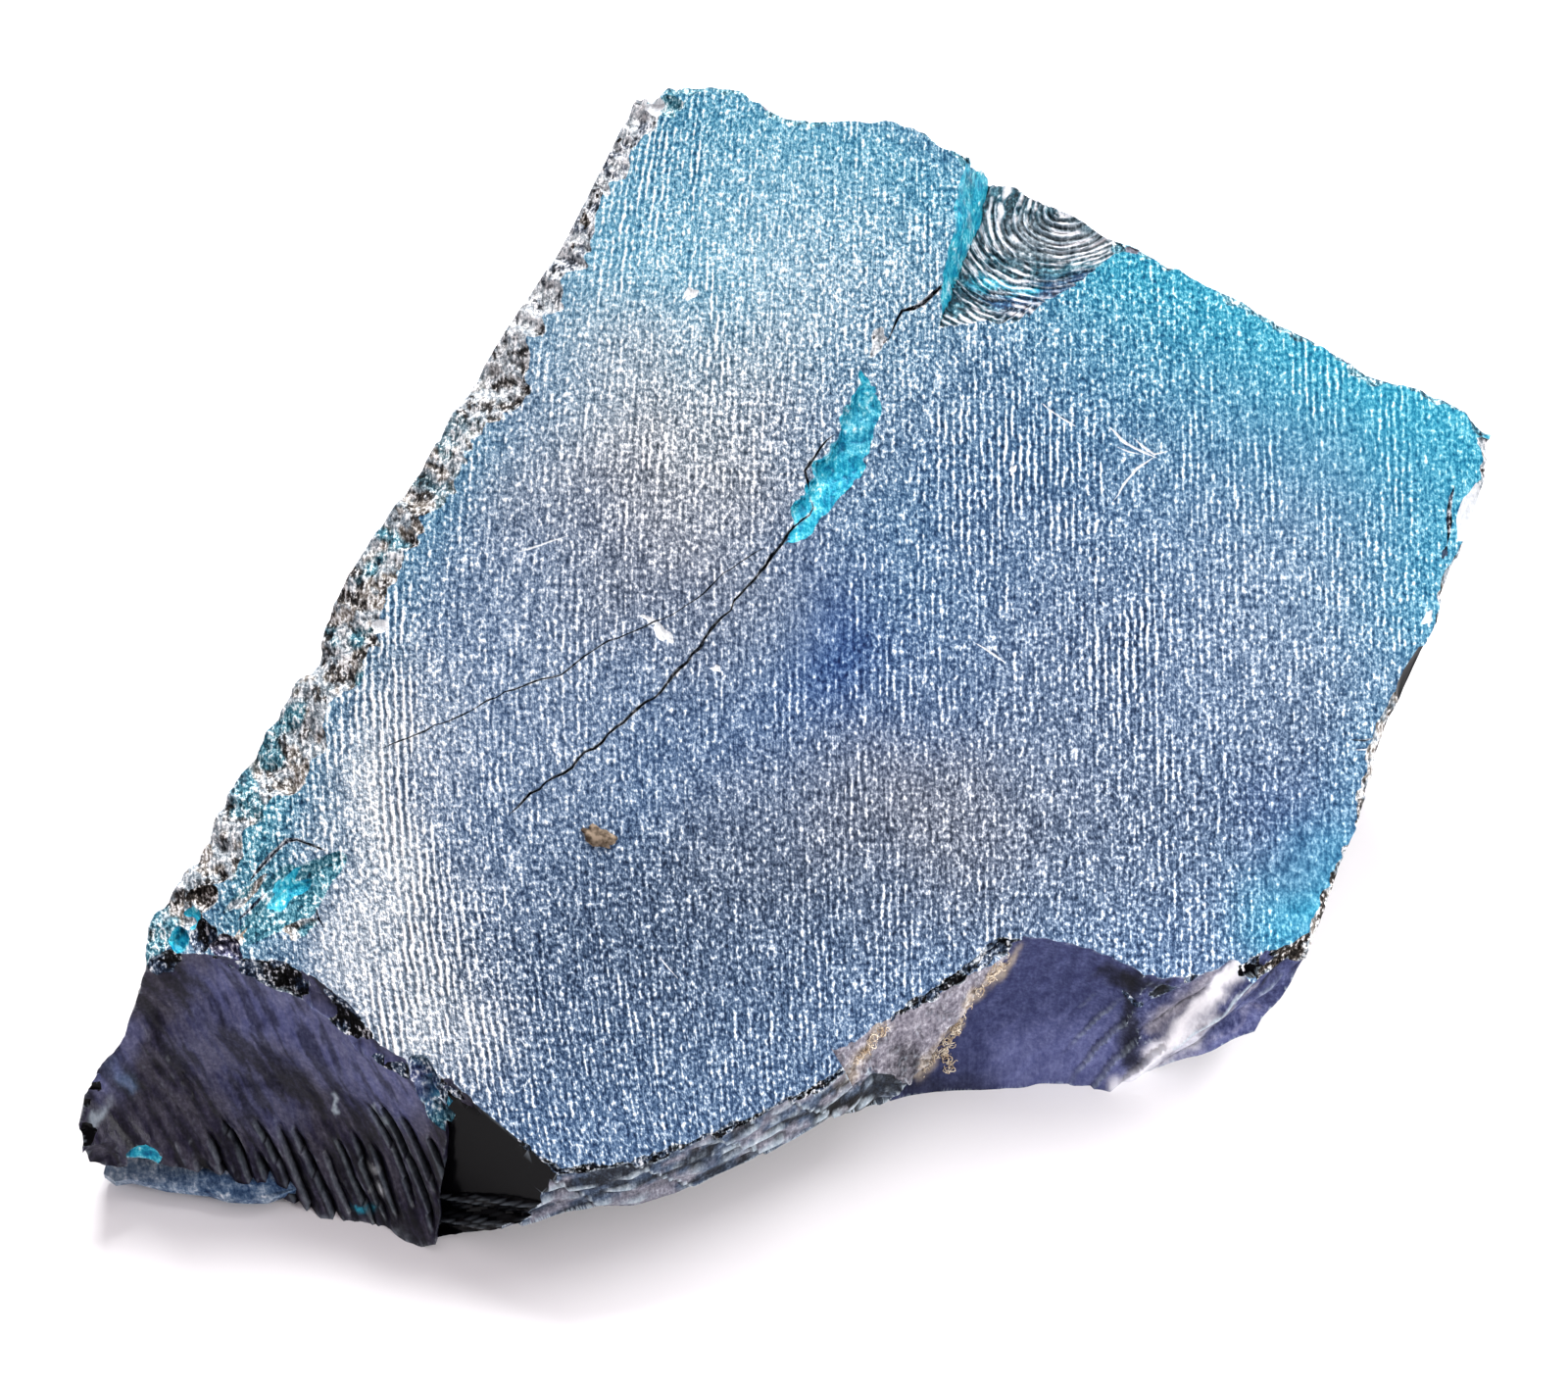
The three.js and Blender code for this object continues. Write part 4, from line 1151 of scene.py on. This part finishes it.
def broken_tint(tint, u, v, w, kind, sizes, colours):
    """The tint of the broken places, with strokes of colour and painted sheen, highlights and
    shade, mottled edges, painted shade in the grooves and painted light and shade on the ripples.
    """
    plain = (kind != BLACK) & (kind != CHIPPED) & (kind != PALE)
    shown = plain * (w > np.where(v < 0, -6.5, -3.2))
    away_u, away_v = u + 0.25 * grain(u, v, 0.7, 63), v + 0.25 * grain(v, u, 0.7, 64)
    for start, end, spread, name, strength in STROKES:
        away = from_line(away_u, away_v, start, end)
        tint = toward(tint, colours[name], strength * np.exp(-((away / spread) ** 3)) * shown)

    pale, rippled, sliver = kind == PALE, kind == RIPPLED, kind == SLIVER
    front = (kind == GLASSY) & (v < -9)
    place = np.stack([u, v, w], -1)
    x, y, _ = ((place - np.array(SADDLE_AT)) @ basis(SADDLE_OUT, SADDLE_ALONG)).T
    streak = grain(x * 5 + y, y * 0.5, 1, 9) + 0.4 * grain(x, y, 1.8, 10, 2)
    warm = smooth(18, 10, v) * smooth(0.15, 0.3, grain(u, v, 0.45, 65, 2))
    dark = pale * smooth(0.22, 0.36, grain(v, u, 0.4, 66))
    green = smooth(-0.1, 0.3, grain(u, v, 0.9, 67, 2)) * smooth(-10, -15, u)
    struck = np.linalg.norm(place - np.array(CHIP_STRUCK), axis=1)
    arc = np.sin(2 * math.pi * (struck + 0.35 * grain(u, v, 1.6, 69)) / sizes["ripple_pitch"])
    patchy = smooth(-0.2, 0.4, grain(u, v, 0.9, 70))
    splinter = grain(0.5 * u + 0.27 * v, 2.4 * v - 1.3 * u + w, 1, 68)
    for name, share in (
        ("beige", 0.7 * pale * warm), ("white", 0.6 * pale * smooth(8, 15, v)),
        ("umber", dark * smooth(18, 12, v)), ("slate", 0.8 * dark * smooth(12, 18, v)),
        ("sea", pale * green),
        ("black", 0.62 * front * smooth(0.05, 0.5, streak)),
        ("light", 0.16 * front * smooth(-0.1, -0.5, streak)),
        ("slate", 0.85 * (kind == CHIPPED) * smooth(-0.25, 0.1, grain(u, v, 0.4, 72, 2))),
        # the ripples: painted shade in their troughs and painted highlight on their crests
        ("black", 0.6 * rippled * smooth(0, -0.9, arc)),
        ("bone", 0.85 * rippled * patchy * smooth(0.1, 0.8, arc)),
        ("light", 0.75 * sliver * smooth(0.1, 0.45, splinter)),
        ("black", 0.8 * sliver * smooth(-0.15, -0.5, splinter)),
        # painted shade in the torn grooves
        ("black", -1.6 * torn_grooves(x, y, sizes["groove_pitch"], 1) * front),
    ):
        tint = toward(tint, colours[name], share)
    return tint


def crests(mesh):
    """For each point how far it stands out from its neighbours, as a share of how far off
    they are: above 0 on a crest, and below 0 in a trough."""
    points = read(mesh.vertices, "co", 3).astype(float)
    normals = read(mesh.vertices, "normal", 3)
    a, b = read(mesh.edges, "vertices", 2, np.int32).T
    run = points[b] - points[a]
    size = np.linalg.norm(run, axis=1)
    drop = np.bincount(a, -(run * normals[a]).sum(1), len(points))
    drop += np.bincount(b, (run * normals[b]).sum(1), len(points))
    reach = np.bincount(a, size, len(points)) + np.bincount(b, size, len(points))
    return drop / np.maximum(reach, 1e-9)


def paint(mesh, sizes, colours):
    """Writes what the material reads. face: the place on the sawn face, with the saw mark
    counted first. tint: the body colour, with painted sheen, highlights and shade. marks: how
    far the fine grain, the saw lines and the broad mottling change it. gloss: roughness and
    clearness."""
    points = read(mesh.vertices, "co", 3).astype(float)
    place = (points - np.array((0, 0, FACE_HEIGHT))) @ face_turn()
    u, v, w = place.T
    write(mesh, "face", "POINT", np.stack([saw_line(u, v), v, w], -1))

    corner_point = read(mesh.loops, "vertex_index", dtype=np.int32)
    corners = read(mesh.polygons, "loop_total", dtype=np.int32)
    kind = np.repeat(read(mesh.attributes["kind"].data, "value", dtype=np.int32), corners)
    u, v, w = place[corner_point].T
    crest = crests(mesh)[corner_point]
    tint, marks, gloss = np.zeros((3, len(kind), 3))
    painted_crest_light = np.zeros(len(kind))
    for number, (name, *grains, rough, clear, light) in FINISHES.items():
        here = kind == number
        tint[here] = colours[name]
        marks[here] = grains
        gloss[here] = (rough, clear, 0)
        painted_crest_light[here] = light
    sawn, rest = kind == SAWN, kind != SAWN
    tint[sawn] = sawn_tint(u[sawn], v[sawn], colours)
    for (cu, cv), (du, dv), *more in TEXTURES:
        marks += (hill(u - cu, v - cv, du, dv) * sawn)[:, None] * np.array(more)
    # the saw lines come and go in strips a millimetre or so wide
    strips = np.clip(0.75 + 2.2 * grain(u, v * 0.3, 1.3, 81), 0.05, 1.8)
    marks[:, 1] *= np.where(sawn, strips, 1)
    tint[rest] = broken_tint(tint[rest], u[rest], v[rest], w[rest], kind[rest], sizes, colours)
    # painted highlight on the crests and painted shade in the troughs, by how far each point stands
    # out
    tint = toward(tint, colours["pale_tone_and_highlight"], painted_crest_light * smooth(0.1, 0.34, crest))
    tint = toward(tint, colours["black"], np.minimum(painted_crest_light, 0.8) * smooth(-0.05, -0.3, crest))
    write(mesh, "tint", "CORNER", tint)
    write(mesh, "marks", "CORNER", np.maximum(marks, 0))
    write(mesh, "gloss", "CORNER", gloss)


def node(tree, kind, inputs=None, **settings):
    """Adds a node with its settings and inputs. An input is a value, a socket to link, or a
    node whose first output is linked."""
    made = tree.nodes.new(kind)
    for name, value in settings.items():
        setattr(made, name, value)
    for name, value in (inputs or {}).items():
        if isinstance(value, bpy.types.Node):
            value = value.outputs[0]
        if isinstance(value, bpy.types.NodeSocket):
            tree.links.new(value, made.inputs[name])
        else:
            made.inputs[name].default_value = value
    return made


def empty_material(name):
    """A material without nodes, and its tree."""
    material = bpy.data.materials.new(name)
    material.use_nodes = True
    material.node_tree.nodes.clear()
    return material, material.node_tree


def zircon_material(saw_pitch):
    """Zircon: dense, glassy and dark. Where it broke it is bright as glass; where it was
    sawn it is frosted, with white torn lines along the marks of the blade."""
    material, tree = empty_material("zircon, sawn and broken")
    face, tint, marks, gloss = [
        node(tree, "ShaderNodeAttribute", attribute_name=name).outputs["Vector"]
        for name in ("face", "tint", "marks", "gloss")
    ]
    rough, clear, _ = node(tree, "ShaderNodeSeparateXYZ", {0: gloss}).outputs

    # frosted grit about 0.13 mm across, and torn streaks about 1.5 mm long
    grit, torn = [
        node(tree, "ShaderNodeTexNoise", {
            "Vector": node(tree, "ShaderNodeMapping", {"Vector": face, "Scale": squeeze}),
            "Scale": scale, "Detail": 2, "Roughness": 0.6,
        })
        for squeeze, scale in (((1, 0.7, 1), 7.5), ((5, 0.5, 1), 1.4))
    ]
    fine = node(tree, "ShaderNodeMath", {0: grit, 1: 4.6, 2: -3.5}, operation="MULTIPLY_ADD")
    fine = node(tree, "ShaderNodeMath", {0: torn, 1: 2.4, 2: fine}, operation="MULTIPLY_ADD")

    # the marks of the saw, which wander a little and are torn open here and there
    across = node(tree, "ShaderNodeSeparateXYZ", {0: face})
    turns = node(tree, "ShaderNodeMath", {0: across, 1: 2 * math.pi / saw_pitch},
                 operation="MULTIPLY")
    wander = node(tree, "ShaderNodeTexNoise", {"Vector": face, "Scale": 1.3, "Detail": 1.0})
    turns = node(tree, "ShaderNodeMath", {0: wander, 1: 6, 2: turns}, operation="MULTIPLY_ADD")
    line = node(tree, "ShaderNodeMath", {0: turns}, operation="SINE")
    worn = node(tree, "ShaderNodeMapRange", {
        "Value": torn, "From Min": 0.35, "From Max": 0.6, "To Min": 0.15, "To Max": 0.85,
    })
    line = node(tree, "ShaderNodeMath", {0: line, 1: worn}, operation="MULTIPLY")

    # broad mottling about 0.5 mm across
    mottle = node(tree, "ShaderNodeTexNoise", {
        "Vector": face, "Scale": 2, "Detail": 3, "Roughness": 0.65,
    })
    mottle = node(tree, "ShaderNodeMath", {0: mottle, 1: 4, 2: -2.0}, operation="MULTIPLY_ADD")

    # a raised grain is torn white and a sunk one shows the body colour, deep
    patterns = node(tree, "ShaderNodeCombineXYZ", {0: fine, 1: line, 2: mottle})
    height = node(tree, "ShaderNodeVectorMath", {0: patterns, 1: marks},
                  operation="DOT_PRODUCT").outputs["Value"]
    depth = node(tree, "ShaderNodeMath", {0: 1, 1: height}, operation="SUBTRACT")
    depth = node(tree, "ShaderNodeClamp", {"Value": depth, "Min": 0.08, "Max": 2.8})
    shader = node(tree, "ShaderNodeBsdfPrincipled", {
        "Base Color": node(tree, "ShaderNodeGamma", {"Color": tint, "Gamma": depth}),
        "Roughness": rough, "IOR": 1.93, "Specular IOR Level": 0.025,
        "Transmission Weight": clear,
        "Normal": node(tree, "ShaderNodeBump", {
            "Height": height, "Strength": 1, "Distance": 0.02 * MM,
        }),
    })
    absorb = node(tree, "ShaderNodeVolumeAbsorption", {
        "Color": (0.1, 0.55, 0.7, 1), "Density": 300,
    })
    node(tree, "ShaderNodeOutputMaterial", {"Surface": shader, "Volume": absorb})
    return material


def dust_material(name, colour, light, gap):
    """Dust and lint: dry, matt fibres and crumbs, with a lighter colour for painted highlights,
    laid in spots at random.
    """
    material, tree = empty_material(name)
    spots = node(tree, "ShaderNodeTexNoise", {
        "Vector": node(tree, "ShaderNodeTexCoord").outputs["Object"], "Scale": 1 / gap,
        "Detail": 2,
    })
    tone = node(tree, "ShaderNodeMapRange", {"Value": spots, "From Min": 0.4, "From Max": 0.62})
    mixed = node(tree, "ShaderNodeMix", {
        "Factor": tone, "A": (*colour, 1), "B": (*light, 1),
    }, data_type="RGBA")
    shader = node(tree, "ShaderNodeBsdfPrincipled", {
        "Base Color": mixed.outputs["Result"], "Roughness": 0.9, "Specular IOR Level": 0.3,
        "Normal": node(tree, "ShaderNodeBump", {
            "Height": spots, "Strength": 0.5, "Distance": 0.03 * MM,
        }),
    })
    node(tree, "ShaderNodeOutputMaterial", {"Surface": shader})
    return material


def paper_material(colour):
    """Uncoated card: matt, and without a pattern that shows."""
    material, tree = empty_material("paper, plain white")
    shader = node(tree, "ShaderNodeBsdfPrincipled", {"Base Color": (*colour, 1), "Roughness": 0.9})
    node(tree, "ShaderNodeOutputMaterial", {"Surface": shader})
    return material


# ---- Dust
# Where lint clings to the stone, as runs of (u, v) on its broken front
LINT_RUNS = (
    ((8.5, -9.6), (7.8, -10.3), (7.1, -11.2), (6.9, -12), (6.3, -12.8), (5.7, -13.5)),
    ((7, -11.4), (6.9, -12.2), (6.5, -12.9), (6.9, -13.3)),
    ((6.6, -12.9), (6.8, -13.2), (6.7, -13.5)),
    ((3.7, -12.2), (3.1, -13), (2.7, -13.6)),
)
LINT_SPREAD = 0.14  # how far it strays to either side of a run
LINT_SEED, CURL_SEED = 11, 7
CRUMB = (-6.8, -5.4)
LOOKOUT = 12  # how far above the sawn face the places of the dust are looked for


def on_stone(stone, u, v):
    """The point of the finished stone that lies under (u, v), in metres, as seen from a
    place well above the sawn face."""
    turn = face_turn()
    above = (turn @ (u, v, LOOKOUT) + (0, 0, FACE_HEIGHT) - (*MIDDLE, 0)) * MM
    hit, place, _, _ = stone.ray_cast(Vector(above), Vector(turn @ (0, 0, -1)))
    if not hit:
        raise RuntimeError(f"no stone under {u}, {v}")
    return place


def strewn(name, stone, runs, spacing, spread, seed):
    """A mesh of loose points on the stone, strewn to either side of the runs."""
    points = []
    for run in runs:
        length, place = walk(run)
        for _ in range(round(length / spacing)):
            n = seed + 3 * len(points)
            u, v = place(length * random(n))
            u = u + spread * (random(n + 1) + random(n + 7) - 1)
            v = v + spread * (random(n + 2) + random(n + 8) - 1)
            points.append(on_stone(stone, u, v))
    return placed(name, new_mesh(name, points))


def scatter_tree(name, shape):
    """A Geometry Nodes tree that puts small copies of a shape on a mesh's points. shape(tree,
    group input) gives the node of the shape."""
    tree = bpy.data.node_groups.new(name, "GeometryNodeTree")
    tree.is_modifier = True
    for label, kind in (
        ("Geometry", "Geometry"), ("Size", "Float"), ("Thickness", "Float"), ("Seed", "Int"),
        ("Material", "Material"),
    ):
        tree.interface.new_socket(label, in_out="INPUT", socket_type=f"NodeSocket{kind}")
    tree.interface.new_socket("Geometry", in_out="OUTPUT", socket_type="NodeSocketGeometry")
    given = node(tree, "NodeGroupInput").outputs
    turn, scale = [
        node(tree, "FunctionNodeRandomValue", {
            "Min": (low, low, low), "Max": (high, high, high), "Seed": given["Seed"],
        }, data_type="FLOAT_VECTOR")
        for low, high in ((0, 6.283), (0.4, 1.3))
    ]
    copies = node(tree, "GeometryNodeInstanceOnPoints", {
        "Points": node(tree, "GeometryNodeMeshToPoints", {"Mesh": given["Geometry"]}),
        "Instance": shape(tree, given), "Rotation": turn, "Scale": scale,
    })
    real = node(tree, "GeometryNodeRealizeInstances", {"Geometry": copies})
    coated = node(tree, "GeometryNodeSetMaterial", {
        "Geometry": real, "Material": given["Material"],
    })
    node(tree, "NodeGroupOutput", {0: coated})
    return tree


def fibre(tree, given):
    """A curled fibre."""
    curl = node(tree, "GeometryNodeCurveSpiral", {
        "Resolution": 9, "Rotations": 0.8, "Start Radius": given["Size"],
        "End Radius": given["Thickness"], "Height": given["Size"],
    })
    section = node(tree, "GeometryNodeCurvePrimitiveCircle", {
        "Resolution": 4, "Radius": given["Thickness"],
    }, mode="RADIUS")
    return node(tree, "GeometryNodeCurveToMesh", {
        "Curve": curl, "Profile Curve": section, "Fill Caps": True,
    })


def scatter(piece, tree, values):
    """Runs the tree on the piece, which becomes a plain mesh of what it makes."""
    modifier = piece.modifiers.new("scatter", "NODES")
    modifier.node_group = tree
    for item in tree.interface.items_tree:
        if item.in_out == "INPUT" and item.name in values:
            modifier[item.identifier] = values[item.name]
    settle(piece, modifier)


def crumb_on(stone, size):
    """A lump of dirt on the sawn face."""
    middle, turn = on_stone(stone, *CRUMB), face_turn()
    ball = bmesh.new()
    bmesh.ops.create_icosphere(ball, subdivisions=3, radius=1)
    for point in ball.verts:
        x, y, z = point.co
        lump = 1 + 0.3 * float(grain(np.array(x * 3 + 9), np.array(y * 3 + z * 2), 1, 71))
        flat = np.array((x * 0.62 - y * 0.12, y * 0.4 - x * 0.12, max(z, -0.4) * 0.16))
        point.co = Vector(turn @ (flat * size * lump)) + middle
    mesh = bpy.data.meshes.new("crumb")
    ball.to_mesh(mesh)
    ball.free()
    return placed("crumb", mesh)


# ---- Stage
# The camera: where it stands, how far it is turned up from straight down, in degrees, its lens
# and the width of its picture plane
CAMERA_AT = (-0.34, -95.5, 143.98)
CAMERA_TURN = 35
LENS, SENSOR = 100, 36
# Lamps: name, place in metres, width, share of the power
LAMPS = (
    ("back key", (-0.02, 0.44, 0.5), 0.22, 1.25),
    ("right key", (0.36, 0.33, 0.5), 0.4, 0.75),
    ("low fill", (0.032, -0.04, 0.025), 0.02, 0.004),
)


def camera():
    """The camera of the scene."""
    lens = bpy.data.cameras.new("camera")
    lens.lens, lens.sensor_width = LENS, SENSOR
    lens.clip_start = 0.01
    made = placed("camera", lens)
    made.location = [c * MM for c in CAMERA_AT]
    made.rotation_euler = (math.radians(CAMERA_TURN), 0, 0)
    bpy.context.scene.camera = made


def lamps(power):
    """Round lamps, turned toward the stone, which share out the power."""
    for name, place, size, share in LAMPS:
        lamp = bpy.data.lights.new(name, "AREA")
        lamp.shape = "DISK"
        lamp.size = size
        lamp.energy = power * share
        made = placed(name, lamp)
        made.location = place
        made.rotation_euler = (-made.location).to_track_quat("-Z", "Y").to_euler()


def soft_room(colour, low, high):
    """Light from all round, brightest above and behind."""
    world = bpy.data.worlds.new("soft room")
    bpy.context.scene.world = world
    world.use_nodes = True
    tree = world.node_tree
    look = node(tree, "ShaderNodeTexCoord").outputs["Generated"]
    rise = node(tree, "ShaderNodeVectorMath", {0: look, 1: (-0.1, 0.6, 0.8)},
                operation="DOT_PRODUCT")
    share = node(tree, "ShaderNodeMapRange", {
        "Value": rise.outputs["Value"], "From Min": 0.3, "From Max": 0.9, "To Min": low,
        "To Max": high,
    }, interpolation_type="SMOOTHSTEP")
    room = tree.nodes["Background"]
    room.inputs["Color"].default_value = (*colour, 1)
    tree.links.new(share.outputs[0], room.inputs["Strength"])


# ---- What a user can change
def length(name, millimetres, description):
    """A length that a user can change."""
    return FloatProperty(
        name=name, description=description, default=millimetres * MM, min=0, precision=5,
        unit="LENGTH",
    )


def shade(name, code, description):
    """A colour that a user can change."""
    return FloatVectorProperty(
        name=name, description=description, default=linear(code), size=3, min=0, max=1,
        subtype="COLOR",
    )


class StoneSizes(PropertyGroup):
    """Sizes of the marks and fractures of the stone."""
    saw_pitch: length("Saw mark pitch", 0.28, "From one mark of the saw to the next")
    saw_depth: length("Saw mark height", 0.012, "How far a mark of the saw stands up")
    groove_pitch: length("Groove pitch", 0.64, "Between the torn grooves of the dark fracture")
    groove_depth: length("Groove depth", 0.42, "How deep those grooves are")
    ripple_pitch: length("Ripple pitch", 0.36, "Between the ripples of the chip in the top edge")
    ripple_height: length("Ripple height", 0.1, "How high those ripples stand")
    crack_width: length("Crack width", 0.17, "How wide the crack in the sawn face is")


class StoneColours(PropertyGroup):
    """Colours of the stone."""
    sawn: shade("Sawn", "#577190", "The sawn face away from its washes of colour")
    sky: shade("Sky", "#7ab2c6", "The pale blue top of the sawn face")
    # whitish bloom, and also painted sheen at the left of the sawn face and painted light in the
    # ledge at the tip
    bloom_and_painted_light: shade("Bloom and painted light", "#bac2c9", "The whitish bloom on the sawn face")
    ash: shade("Ash", "#68707f", "The grey places on the sawn face")
    deep: shade("Deep", "#294a7a", "The dark blue places on the sawn face")
    slate: shade("Slate", "#3f4e64", "The slate grey foot of the sawn face")
    turquoise: shade("Turquoise", "#25a8c4", "Fresh flakes that let light through")
    sea: shade("Sea", "#4f8797", "The sea green at the left edge")
    glow: shade("Glow", "#3697b1", "Light through the thin rim")
    violet: shade("Violet", "#221f32", "The dark glassy fractures")
    # a painted sheen, laid on by the strokes
    painted_violet_sheen: shade("Painted violet sheen", "#5c618c", "The violet sheen on the fractures")
    dusk: shade("Dusk", "#33385c", "The matt hollow at the front")
    # black is also laid on as painted shade in troughs, grooves and nooks
    black: shade("Black", "#040406", "Crushed and deep places")
    pale: shade("Pale", "#a3acb2", "The chipped edges")
    teal: shade("Teal", "#24505f", "The rippled chip")
    light: shade("Light", "#7a7781", "The gritty ledge")
    # a pale colour, mostly for painted highlights on crests and for glints
    pale_tone_and_highlight: shade("Pale tone and highlight", "#a9b6c0", "The crests of broken places")
    # a painted highlight colour, on the ridge of the lobes and the crests of the ripples
    bone: shade("Bone", "#f4f2f5", "The pale ridge of the lobes")
    # white also stands for painted glints on the dark fracture
    white: shade("White", "#cfd3d6", "Scratches and bruises")
    beige: shade("Beige", "#9c9082", "The sand-coloured flakes")
    umber: shade("Umber", "#38332f", "The brown-black patches")


class DustSettings(PropertyGroup):
    """Lint and dirt on the stone."""
    fibre_size: length("Fibre curl", 0.2, "How wide a fibre of lint curls")
    fibre_thickness: length("Fibre thickness", 0.02, "How thick a fibre is")
    fibre_spacing: length("Fibre spacing", 0.03, "Between fibres along the edge they cling to")
    crumb_size: length("Crumb size", 1, "How large the crumb of dirt on the sawn face is")
    lint: shade("Lint", "#ae987e", "Lint at the edge of the ledge")
    # painted highlight colour of the lint, laid in random spots
    lint_light: shade("Light lint", "#f0e4d0", "Lint where it stands out")
    crumb: shade("Crumb", "#463a2e", "The crumb of dirt")
    # painted highlight colour of the crumb, laid in random spots
    crumb_light: shade("Light crumb", "#8a7a68", "The crumb of dirt where it stands out")


class StageSettings(PropertyGroup):
    """The floor and the light."""
    floor_size: FloatProperty(
        name="Floor size", description="Width of the floor", default=6, min=1, unit="LENGTH",
    )
    floor_colour: shade("Floor", "#ecebec", "The pale floor")
    key_power: FloatProperty(
        name="Key power", description="Power that the lamps share out", default=4.4, min=0,
        unit="POWER",
    )
    room_colour: shade("Room", "#fff4fb", "Colour of the light from the room")
    room_low: FloatProperty(
        name="Room, low", description="Light from the front of the room", default=0.42, min=0,
    )
    room_high: FloatProperty(
        name="Room, high", description="Light from above and behind", default=0.76, min=0,
    )


def chosen(group):
    """The values of a property group: lengths in millimetres, colours as they are."""
    values = {}
    for name in type(group).__annotations__:
        value = getattr(group, name)
        values[name] = value / MM if isinstance(value, float) else tuple(value)
    return values


class ZIRCON_OT_stone(Operator):
    """Carve the stone and give it its finish"""
    bl_idname = "zircon.stone"
    bl_label = "Zircon stone"

    def execute(self, context):
        sizes = chosen(context.scene.zircon_sizes)
        stone = carved_stone(sizes)
        paint(stone.data, sizes, chosen(context.scene.zircon_colours))
        middle = np.array((*MIDDLE, 0))
        move_points(stone.data, lambda p: (p - middle) * MM)
        stone.data.materials.clear()
        stone.data.materials.append(zircon_material(sizes["saw_pitch"]))
        stone.data.shade_smooth()
        stone.data.set_sharp_from_angle(angle=math.radians(SHARP_ANGLE))
        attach(stone, "root")
        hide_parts("rough_zircon")
        return {"FINISHED"}


class ZIRCON_OT_lint(Operator):
    """Lay lint along the broken edge of the ledge"""
    bl_idname = "zircon.lint"
    bl_label = "Lint"

    def execute(self, context):
        dust = context.scene.zircon_dust
        stone = bpy.data.objects["rough_zircon_stone"]
        lint = strewn("lint", stone, LINT_RUNS, dust.fibre_spacing / MM, LINT_SPREAD, LINT_SEED)
        scatter(lint, scatter_tree("lint", fibre), {
            "Size": dust.fibre_size, "Thickness": dust.fibre_thickness, "Seed": CURL_SEED,
            "Material": dust_material("lint, dry", dust.lint, dust.lint_light, 0.2 * MM),
        })
        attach(lint, "root")
        return {"FINISHED"}


class ZIRCON_OT_crumb(Operator):
    """Put the crumb of dirt on the sawn face"""
    bl_idname = "zircon.crumb"
    bl_label = "Crumb of dirt"

    def execute(self, context):
        dust = context.scene.zircon_dust
        crumb = crumb_on(bpy.data.objects["rough_zircon_stone"], dust.crumb_size)
        crumb.data.materials.append(
            dust_material("dirt, dry", dust.crumb, dust.crumb_light, 0.25 * MM)
        )
        crumb.data.shade_smooth()
        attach(crumb, "root")
        return {"FINISHED"}


class ZIRCON_OT_stage(Operator):
    """Set up the floor, the camera and the light"""
    bl_idname = "zircon.stage"
    bl_label = "Stage"

    def execute(self, context):
        stage = context.scene.zircon_stage
        half = stage.floor_size / 2
        corners = [(x, y, 0) for x, y in square(-half, -half, half, half)]
        floor = placed("floor", new_mesh("floor", corners, [(0, 1, 2, 3)]))
        floor.data.materials.append(paper_material(stage.floor_colour))
        camera()
        lamps(stage.key_power)
        soft_room(stage.room_colour, stage.room_low, stage.room_high)
        context.scene.view_settings.view_transform = "Standard"
        return {"FINISHED"}


OPERATORS = (ZIRCON_OT_stone, ZIRCON_OT_lint, ZIRCON_OT_crumb, ZIRCON_OT_stage)
GROUPS = {
    "zircon_sizes": StoneSizes, "zircon_colours": StoneColours, "zircon_dust": DustSettings,
    "zircon_stage": StageSettings,
}


class ZIRCON_PT_panel(Panel):
    """Everything that the rough zircon is made of"""
    bl_label = "Rough zircon"
    bl_idname = "ZIRCON_PT_panel"
    bl_space_type = "VIEW_3D"
    bl_region_type = "UI"
    bl_category = "Zircon"

    def draw(self, context):
        for operator in OPERATORS:
            self.layout.operator(operator.bl_idname)
        for name, group in GROUPS.items():
            box = self.layout.box()
            box.label(text=group.__doc__)
            for field in group.__annotations__:
                box.prop(getattr(context.scene, name), field)


def register():
    for group in (*GROUPS.values(), *OPERATORS, ZIRCON_PT_panel):
        bpy.utils.register_class(group)
    for name, group in GROUPS.items():
        setattr(bpy.types.Scene, name, PointerProperty(type=group))


def unregister():
    for name in GROUPS:
        delattr(bpy.types.Scene, name)
    for group in (ZIRCON_PT_panel, *OPERATORS, *GROUPS.values()):
        bpy.utils.unregister_class(group)


def main():
    register()
    bpy.ops.zircon.stone()
    bpy.ops.zircon.lint()
    bpy.ops.zircon.crumb()
    bpy.ops.zircon.stage()


if __name__ == "__main__":
    main()
